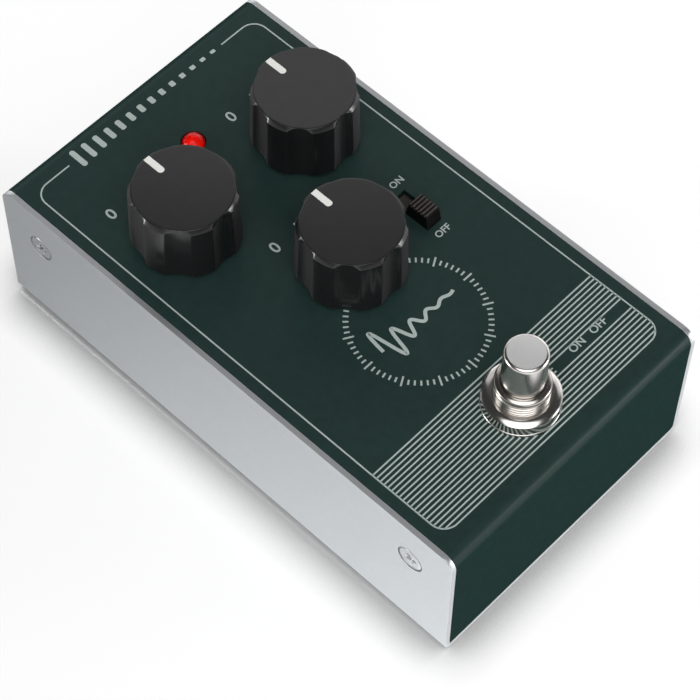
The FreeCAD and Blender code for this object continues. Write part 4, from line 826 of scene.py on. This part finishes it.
def make_jack_nuts(left, right):
    """A hexagonal nut round each bushing."""
    low, high = box("jack_nuts")
    depth, across_flats = high.y - low.y, 11.0
    corner = across_flats / math.sqrt(3)
    nut = pushed(circle(0, 0, corner, 6, QUARTER), "z", 0, depth, "jack_nuts")
    bevel = turned([(0, -1), (corner - 0.7, -1), (corner + 0.3, 0.25), (corner + 0.3, depth - 0.25),
                    (corner - 0.45, depth), (0, depth)])
    shaped(nut, bevel, way="INTERSECT")
    shaped(nut, pushed(circle(0, 0, BUSHING_HOLE), "z", -1, depth + 1))
    soften(nut, 0.08, 2)
    lying(nut, left.x, low.y, left.z)
    grow(nut, ROW, NICKEL, step=metres(right.x - left.x, 0, 0))
    place_piece(smooth(nut, 30), "case", "steel", NICKEL, "jack_nuts")


def make_jack_washers(left, right):
    low, high = box("jack_washers")
    radius, depth = 6.4, high.y - low.y
    profile = rounded([(BUSHING_HOLE, 0, 0), (radius, 0, 0.1), (radius, depth, 0.12),
                       (BUSHING_HOLE, depth, 0.1)], 3)
    washer = lying(turned(profile, name="jack_washers"), left.x, low.y, left.z)
    grow(washer, ROW, ZINC, step=metres(right.x - left.x, 0, 0))
    place_piece(smooth(washer), "case", "steel", ZINC, "jack_washers")


def make_power_socket():
    """The round power socket: block, nose and bore, with its centre pin."""
    place = socket_axis("dc_jack_pin")
    low, high = box("dc_jack")
    nose, bore, bore_length = 4.4, 3.2, 10.0
    block = pushed(rectangle(low.x, high.x, low.z, high.z, 0.5, 4), "y", low.y, REAR - METAL, "power_socket")
    soften(block, 0.2)
    ring = turned(rounded([(0, -1, 0), (nose, -1, 0), (nose, METAL, 0.2), (0, METAL, 0)], 3))
    shaped(block, lying(ring, place.x, REAR - METAL, place.z), way="UNION")
    hole = turned([(0, 1), (bore + 1.3, 1), (bore, -0.3), (bore, -bore_length), (0, -bore_length)])
    shaped(block, lying(hole, place.x, REAR, place.z))
    place_piece(smooth(block, 40), "case", "black_plastic", BLACK_PLASTIC, "dc_jack")
    low, high = box("dc_jack_pin")
    pin_root, pin, root, length = 1.3, 1.0, REAR - bore_length - low.y, high.y - low.y
    profile = [(0, 0), (pin_root, 0), (pin_root, root), (pin, root), *rounded(
        [(pin, root + 0.5, 0), (pin, length, 0.6), (0, length, 0)], 6)]
    thing = lying(turned(profile, segments=48, name="power_pin"), place.x, low.y, place.z)
    place_piece(smooth(thing, 40), "case", "steel", NICKEL, "dc_jack_pin")


jack_places = (socket_axis("output_jack"), socket_axis("input_jack"))
make_jacks(*jack_places)
make_jack_nuts(*jack_places)
make_jack_washers(*jack_places)
make_power_socket()


# Knobs

FLUTE_COUNT = 7
KNOB_FACE = 10.85
KNOB_SHOULDER = 11.55
KNOB_FOOT = 11.91
FLUTE_AXIS = 18.22
POINTER_WIDTH = 1.65
POINTER_START = 5.75
POINTER_DEPTH = 0.3


def make_knob(side_name):
    """A turned blank whose scallops follow one rule, and its white pointer."""
    node_name = f"knob_{side_name}"
    body = f"{node_name}_body"
    axis = middle(f"pot_cover_{side_name}")
    low, top = (corner.z for corner in box(node_name))
    cavity, cavity_top, hub, hub_low, lip = 9.67, top - 2.2, 4.6, 44.4, 0.2
    crown = rounded([(0, top, 0), (KNOB_FACE, top, 0.16), (KNOB_SHOULDER, top - 0.96, 0.22),
                     (KNOB_FOOT, low + lip, 0)], 4)[1:-1]
    wall = stepped(crown[-1], (KNOB_FOOT, low + lip), 12)[1:]
    face = [(radius, top) for radius in (0, 5, 8, 9.8, 10.1, 10.4)]
    inside = [(KNOB_FOOT - lip, low), (cavity + 0.2, low), (cavity, cavity_top), (hub, cavity_top),
              (hub, hub_low), (0, hub_low)]
    knob = turned(face + crown + wall + inside, axis[:2], FLUTE_COUNT * 60, node_name)
    grow(knob, FLUTES, KNOB_BLACK, count=FLUTE_COUNT, first=-QUARTER, axis=metres(axis.x, axis.y, low),
         height=MM * (top - low), cutter_distance=MM * FLUTE_AXIS, radius_foot=MM * 7.27,
         radius_top=MM * 7.5, face_radius=MM * KNOB_FACE, pull_from=MM * 9.9, soft=MM * 0.3)
    floor = top - POINTER_DEPTH
    groove = pointer_outline(axis, POINTER_WIDTH, POINTER_START, KNOB_FOOT + 1)
    shaped(knob, pushed(groove, "z", floor, top + 1))
    place_piece(smooth(knob, 35), body, "knob_plastic", KNOB_BLACK, node_name)
    outline = pointer_outline(axis, POINTER_WIDTH - 0.02, POINTER_START + 0.01, KNOB_FACE + 0.03)
    line = soften(pushed(outline, "z", floor, top - 0.03, f"pointer_{side_name}"), 0.05, 2)
    place_piece(smooth(line), body, "pointer_fill", WHITE_FILL)


def pointer_outline(axis, width, start, end):
    half = width / 2
    low, high, round_end = axis.y + start, axis.y + end, half * 0.95
    return rounded([(axis.x - half, low, round_end), (axis.x + half, low, round_end),
                    (axis.x + half, high, 0), (axis.x - half, high, 0)], 8)


for side_name in KNOBS:
    make_knob(side_name)


# Lamp and slide switch

def make_lamp():
    """The domed lens with its flange under the panel."""
    low, high = box("led_lens")
    radius, flange, flange_top = 2.7, high.x, low.z + 1.0
    profile = [(0, low.z), (flange, low.z), (flange, flange_top), (radius, flange_top),
               *crowned(0, radius, high.z, QUARTER, 20)]
    lens = turned(profile, lamp_axis, name="lamp")
    place_piece(smooth(lens, 40), "case", "lamp_red", LAMP_RED, "led_lens")


def frustum(*ends):
    """A four-sided block between two rows of (x half, y half, z)."""
    return skinned([[(-x, -y, z), (x, -y, z), (x, y, z), (-x, y, z)] for x, y, z in ends], "tool")


def make_slider():
    """The handle with its ridges, on the plate that slides in the can."""
    node_name = "slide_switch_actuator"
    (low, high), centre = box(node_name), middle(node_name)
    plate_top, plate_low, half_x, half_y = 36.2, 34.6, 2.075, 3.2
    ridges, ridge_depth, ridge_pitch, ridge_half = 6, 0.5, 0.9, 1.9
    holder_x, holder_y, draft_x, draft_y = 2.0, 3.5, 0.175, 0.75
    plate = pushed(rectangle(low.x - centre.x, high.x - centre.x, low.y - centre.y, high.y - centre.y,
                             0.3, 3), "z", plate_low, plate_top)
    holder = pushed(rectangle(-holder_x, holder_x, -holder_y, holder_y), "z", low.z, plate_low)
    neck = pushed(rectangle(-half_x, half_x, -half_y, half_y, 0.12, 3), "z", plate_top, PANEL)
    grip_top = high.z - ridge_depth
    share = (grip_top - PANEL) / (high.z - PANEL)
    grip = frustum((half_x, half_y, PANEL), (half_x - draft_x * share, half_y - draft_y * share, grip_top))
    shaped(plate, holder, neck, grip, way="UNION")
    soften(plate, 0.1, 2)
    ridge = frustum((ridge_half + 0.02, ridge_pitch * 0.30, -0.06),
                    (ridge_half, ridge_pitch * 0.22, ridge_depth))
    soften(ridge, 0.06, 2)
    grow(ridge, ROW, BLACK_PLASTIC, count=ridges, step=metres(0, ridge_pitch, 0),
         start=metres(0, -(ridges - 1) / 2 * ridge_pitch, grip_top))
    slider = moved(merged("slider_handle", [plate, ridge]), shift(centre.x, centre.y, 0))
    place_piece(smooth(slider, 40), "slider", "black_plastic", BLACK_PLASTIC, node_name)


make_lamp()
make_slider()


# Footswitch

BARREL = 5.9
CAP = 4.65
STEEPEST = math.radians(42)


def make_switch_barrel():
    """The threaded barrel: a helical thread up to a plain collar with a crowned rim."""
    low, high = box("footswitch_bushing")
    bore = CAP + 0.12
    side = stepped((BARREL, 41.4), (BARREL, 45.7), 70)
    crown = crowned(bore, BARREL - 0.08, high.z, STEEPEST, 12)
    profile = [(BARREL, low.z), *side, (BARREL, crown[0][1] - 0.12), *crown, (bore, low.z)]
    barrel = turned(profile, switch_axis, 128, "barrel")
    grow(barrel, THREAD, THREADED_NICKEL, axis=metres(*switch_axis, 0), low=MM * 41.3, high=MM * 45.6,
         pitch=MM * 0.85, depth=MM * 0.6, outside_from=MM * 5.5)
    place_piece(smooth(barrel, 60), "case", "switch_metal", THREADED_NICKEL, "footswitch_bushing")


def make_switch_cap():
    """The push cap with its satin face, its stem and the stop flange inside."""
    low, high = box("footswitch_plunger")
    stem, flange_top = 3.0, 32.5
    flange_low = flange_top - 1.6
    profile = rounded([(0, low.z, 0), (stem, low.z, 0.2), (stem, flange_low, 0), (high.x, flange_low, 0.1),
                       (high.x, flange_top, 0.1), (CAP, flange_top, 0), (CAP, high.z, 0.8),
                       (0, high.z, 0)], 8)
    cap = turned(profile, switch_axis, 128, "push_cap")
    place_piece(smooth(cap, 40), "plunger", "switch_metal", CAP_NICKEL, "footswitch_plunger")


def make_switch_spring():
    """The return spring, a coil of wire that stands in the switch."""
    low, high = box("footswitch_spring")
    wire = 0.35
    spring = pushed(circle(*switch_axis, 1, 3), "z", low.z, high.z, "switch_spring")
    grow(spring, COIL, ZINC, start=metres(*switch_axis, low.z + wire), wire=MM * wire,
         radius=MM * ((high.x - low.x) / 2 - wire), height=MM * (high.z - low.z - 2 * wire))
    work = bmesh.new()
    work.from_mesh(spring.data)
    bmesh.ops.recalc_face_normals(work, faces=work.faces)
    work.to_mesh(spring.data)
    work.free()
    smooth(spring)
    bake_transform(spring)
    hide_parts("footswitch_spring")


def make_switch_nut():
    """The round dress nut, domed from its face down to its rim."""
    low, high = box("footswitch_top_nut")
    bore, rim, face, soft = BARREL + 0.05, high.x, 6.3, 0.08
    profile = [(bore, low.z), (rim - soft, low.z), (rim, low.z + soft),
               *crowned(face, rim, high.z, STEEPEST, 14), (bore, high.z)]
    nut = turned(profile, switch_axis, 160, "switch_nut")
    place_piece(smooth(nut, 40), "case", "switch_metal", NICKEL, "footswitch_top_nut")


def make_switch_washer():
    low, high = box("footswitch_top_washer")
    bore, outer = BARREL + 0.05, high.x
    profile = rounded([(bore, low.z, 0), (outer, low.z, 0.1), (outer, high.z, 0.3), (bore, high.z, 0)], 5)
    washer = turned(profile, switch_axis, 128, "switch_washer")
    place_piece(smooth(washer), "case", "switch_metal", NICKEL, "footswitch_top_washer")


make_switch_barrel()
make_switch_cap()
make_switch_spring()
make_switch_nut()
make_switch_washer()


# Prints on the panel

PRINT_LOW = PANEL - 0.02
PRINT_TOP = PANEL + 0.02
LINE = 0.34
BORDER_X = 33.0
BORDER_FRONT = -60.23
BORDER_REAR = 57.6
BORDER_CORNER = 3.6
REAR_GAP = 22.85


def printed(outline, name="tool"):
    return pushed(outline, "z", PRINT_LOW, PRINT_TOP, name)


def strip(path, width, name="tool"):
    """A flat strip of even width along a path."""
    rings = []
    for i, (x, y) in enumerate(path):
        before, after = Vector(path[max(i - 1, 0)]), Vector(path[min(i + 1, len(path) - 1)])
        way = (after - before).normalized() * width / 2
        left, right = (x + way.y, y - way.x), (x - way.y, y + way.x)
        rings.append([(*left, PRINT_LOW), (*right, PRINT_LOW), (*right, PRINT_TOP), (*left, PRINT_TOP)])
    return skinned(rings, name)


def make_border():
    """A thin line round the panel, open at the rear."""
    corners = [(BORDER_X, BORDER_REAR), (BORDER_X, BORDER_FRONT), (-BORDER_X, BORDER_FRONT),
               (-BORDER_X, BORDER_REAR)]
    turnings = rounded([(*corner, BORDER_CORNER) for corner in corners], 16)
    return strip([(REAR_GAP, BORDER_REAR), *turnings, (-REAR_GAP, BORDER_REAR)], LINE, "border")


def make_stripes():
    """Fine lines across the front of the panel, under the footswitch."""
    line = printed(rectangle(-0.5 / MM, 0.5 / MM, -LINE / 2, LINE / 2), "stripes")
    return grow(line, STRIPES, PRINT, first=MM * -59.22, pitch=MM * 1.018, corner=MM * BORDER_CORNER,
                edge=MM * BORDER_FRONT, half_width=MM * BORDER_X, gap_end=MM * 10.5)


def make_echo_bars():
    """Rounded bars that fade along the rear, as one sound and its echoes."""
    width, height, pitch, count = 1.3, 5.2, 3.1, 14
    bar = printed(rectangle(-width / 2, width / 2, -height / 2, height / 2, width / 2 - 0.01, 5), "echo_bars")
    return grow(bar, ROW, PRINT, count=count, start=metres(-pitch * (count - 1) / 2, BORDER_REAR, 0),
                step=metres(pitch, 0, 0), keep=0.87)


def make_emblem():
    """A ring of ticks round a wave that dies away."""
    centre_y, reach, swing, fading, cycle, steps = -22.7, 10.5, 6.2, 0.16, 4.2, 180
    tick = printed(rectangle(-1.2, 1.2, -0.2, 0.2))
    grow(tick, RING, PRINT, count=72, centre=metres(0, centre_y, 0), radius=MM * 15.0, long_every=6)
    wave = []
    for i in range(steps + 1):
        along = 2 * reach * i / steps
        height = swing * math.exp(-along * fading) * math.sin(along * 2 * math.pi / cycle)
        wave.append((along - reach, centre_y + height))
    return merged("emblem", [tick, strip(wave, 0.8)])


def make_word(text, x, y, cap_height):
    """Plain letters or figures, centred on x with their feet at y."""
    data = bpy.data.curves.new("word", "FONT")
    data.body = text
    data.resolution_u = 3
    data.offset = 0.015
    data.extrude = 0.5
    thing = new_object("word", data)
    mesh = as_seen(thing)
    discard(thing)
    xs, ys = ([v.co[k] for v in mesh.vertices] for k in (0, 1))
    size = cap_height / (max(ys) - min(ys))
    thick = PRINT_TOP - PRINT_LOW
    return moved(new_object("word", mesh), shift(x, y, PRINT_LOW + thick / 2) @ Matrix.Diagonal(
        (size * MM, size * MM, thick * MM, 1)) @ Matrix.Translation((-(max(xs) + min(xs)) / 2, -min(ys), 0)))


def make_words():
    rows = []
    for side_name, y in (("left", 40.6), ("right", 40.6), ("center", 9.8)):
        x = middle(f"pot_cover_{side_name}").x
        rows += [(text, x + offset, y, 2.9) for text, offset in (("0", -7.5), ("5", 0.0), ("10", 7.5))]
    rows += [("ON", 22.3, 3.55, 1.7), ("OFF", 20.0, -11.95, 1.7), ("ON   OFF", 21.5, -50.9, 1.9)]
    return merged("words", [make_word(*row) for row in rows])


for print_piece in (make_border(), make_stripes(), make_echo_bars(), make_emblem(), make_words()):
    place_piece(print_piece, "case", "panel_print", PRINT)


# What stays as the frame has it, inside the case, in its own finish

INSIDE = {
    SOLDER_MASK: ("main_board", "footswitch_board"),
    ZINC: (*(f"pot_{part}_{knob}" for part in ("cover", "shaft") for knob in KNOBS), "pot_washers",
           "pot_nuts", "pot_terminals", "clinch_nuts", "led_legs", "slide_switch_can", "footswitch_frame",
           "footswitch_inner_nut", "footswitch_lock_washer", "footswitch_terminals", "crystal", "capacitors"),
    BRASS: ("input_contacts", "output_contacts", "dc_jack_contact", "slide_switch_contact",
            "slide_switch_terminals"),
    LAMINATE: (*(f"pot_base_{knob}" for knob in KNOBS), "slide_switch_base"),
    BLUE_MOULDING: ("footswitch_base",),
    WHITE_MOULDING: ("relay",),
    BLACK_PLASTIC: ("processor_chip", "converter_chips", "regulator", "led_spacer", "ribbon_sockets"),
    VINYL: ("ribbon_cable",),
}
for material, names in INSIDE.items():
    for name in names:
        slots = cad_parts[name].data.materials
        slots.clear()
        slots.append(material)


# Camera, table and light

WHITE = (1, 1, 1, 1)
WALLS, CEILING = 0.9, 0.05
SOFT_LIGHTS = (
    (-135, 57, 22, 34, 2.7),     # the wide main light over the viewer
    (43, 22, 31.7, 33.2, 0.76),  # the far wall, whose upper edge lies in the flat tops
    (-54, 16, 5, 15, 5.0),       # low in front, in the panel's fold
    (-46, 3, 5, 9, 10.0),        # low windows to either side, in chamfers and nut
    (6, 20, 14, 26, 0.9),
    (142, 4, 7, 13, 16.0),
)


def heading(azimuth, elevation):
    """The way to a point of the sky, from degrees about z and above the table."""
    azimuth, elevation = math.radians(azimuth), math.radians(elevation)
    return Vector((math.cos(azimuth) * math.cos(elevation), math.sin(azimuth) * math.cos(elevation),
                   math.sin(elevation)))


def aim_camera():
    """The viewing angle measured from the photograph."""
    back = heading(-136.5031, 58.0755)
    roll = math.radians(0.367)
    right = Vector((0, 0, 1)).cross(back).normalized()
    up = back.cross(right)
    across = right * math.cos(roll) + up * math.sin(roll)
    upward = up * math.cos(roll) - right * math.sin(roll)
    data = bpy.data.cameras.new("view")
    data.sensor_width = 36.0
    data.lens = 131.54
    data.shift_x = 0.02206
    data.shift_y = 0.00923
    data.clip_end = 20.0
    camera = new_object("view", data)
    turn = Matrix((across, upward, back)).transposed().to_4x4()
    camera.matrix_world = shift(-217.668, -205.566, 479.550) @ turn
    bpy.context.scene.camera = camera


def make_table():
    """A glossy white table whose colour darkens towards the rear as painted shade, with a painted glow
    towards the front that only reflections see. The eye sees it lifted to white up to a short soft shadow
    round what stands on it, painted from ambient occlusion."""
    work = bmesh.new()
    bmesh.ops.create_grid(work, x_segments=4, y_segments=4, size=4.0)
    table = from_bmesh(work, "table")
    material, graph = new_material("pale_table")
    graph.tree.nodes.remove(graph.tree.nodes["Principled BSDF"])
    # The table's colour darkens towards the rear: painted shade.
    rear_shade = graph.ramp(graph.parts(graph.coordinates())[1], MM * FRONT, MM * REAR)
    matt = graph.add("ShaderNodeBsdfDiffuse", graph.mix(rear_shade, (0.92, 0.92, 0.92, 1), (0.55, 0.55, 0.55, 1)))
    sheen = graph.add("ShaderNodeBsdfAnisotropic", WHITE, Roughness=0.06)
    # A painted glow over the front of the table, seen only in reflections.
    painted_glow_in_reflections = graph.add("ShaderNodeLightPath", output="Is Glossy Ray") * ((1.0 - rear_shade) * 0.38)
    shown = graph.add("ShaderNodeAddShader", graph.add("ShaderNodeMixShader", 0.2, matt, sheen),
                      graph.add("ShaderNodeEmission", WHITE, painted_glow_in_reflections))
    # The glow the eye sees is dimmed by ambient occlusion near what stands on the table: a painted contact
    # shadow.
    near = graph.add("ShaderNodeAmbientOcclusion", samples=8, Distance=0.011, output="AO")
    white = graph.add("ShaderNodeEmission", WHITE, graph.ramp(near, 0.45, 0.97, 0.12, 1.3))
    seen = graph.add("ShaderNodeLightPath", output="Is Camera Ray") * 0.6
    graph.feed(graph.tree.nodes["Material Output"], 0, graph.add("ShaderNodeMixShader", seen, shown, white))
    table.data.materials.append(material)


def light_room():
    """A studio told by where its light comes from: rows of azimuth, elevation, full and outer
    half angle in degrees, and strength, over walls that are pale low down and dim above."""
    world = bpy.data.worlds.new("room")
    world.use_nodes = True
    graph = Graph(world.node_tree)
    graph.tree.nodes.remove(graph.tree.nodes["Background"])
    soft = {"interpolation_type": "SMOOTHSTEP"}
    way = graph.coordinates("Generated")
    light = graph.ramp(graph.parts(way)[2], 0.12, 0.42, WALLS, CEILING, **soft)
    for azimuth, elevation, full, outer, strength in SOFT_LIGHTS:
        near = graph.vectors("DOT_PRODUCT", way, heading(azimuth, elevation), output="Value")
        edge, core = (math.cos(math.radians(angle)) for angle in (outer, full))
        light = light + graph.ramp(near, edge, core, 0.0, strength, **soft)
    seen = graph.add("ShaderNodeLightPath", output="Is Camera Ray")
    shown = graph.add("ShaderNodeMixShader", seen, graph.add("ShaderNodeBackground", WHITE, light),
                      graph.add("ShaderNodeBackground", WHITE, 1.0))
    graph.feed(graph.tree.nodes["World Output"], 0, shown)
    bpy.context.scene.world = world


aim_camera()
make_table()
light_room()
bpy.context.scene.view_settings.view_transform = "Standard"
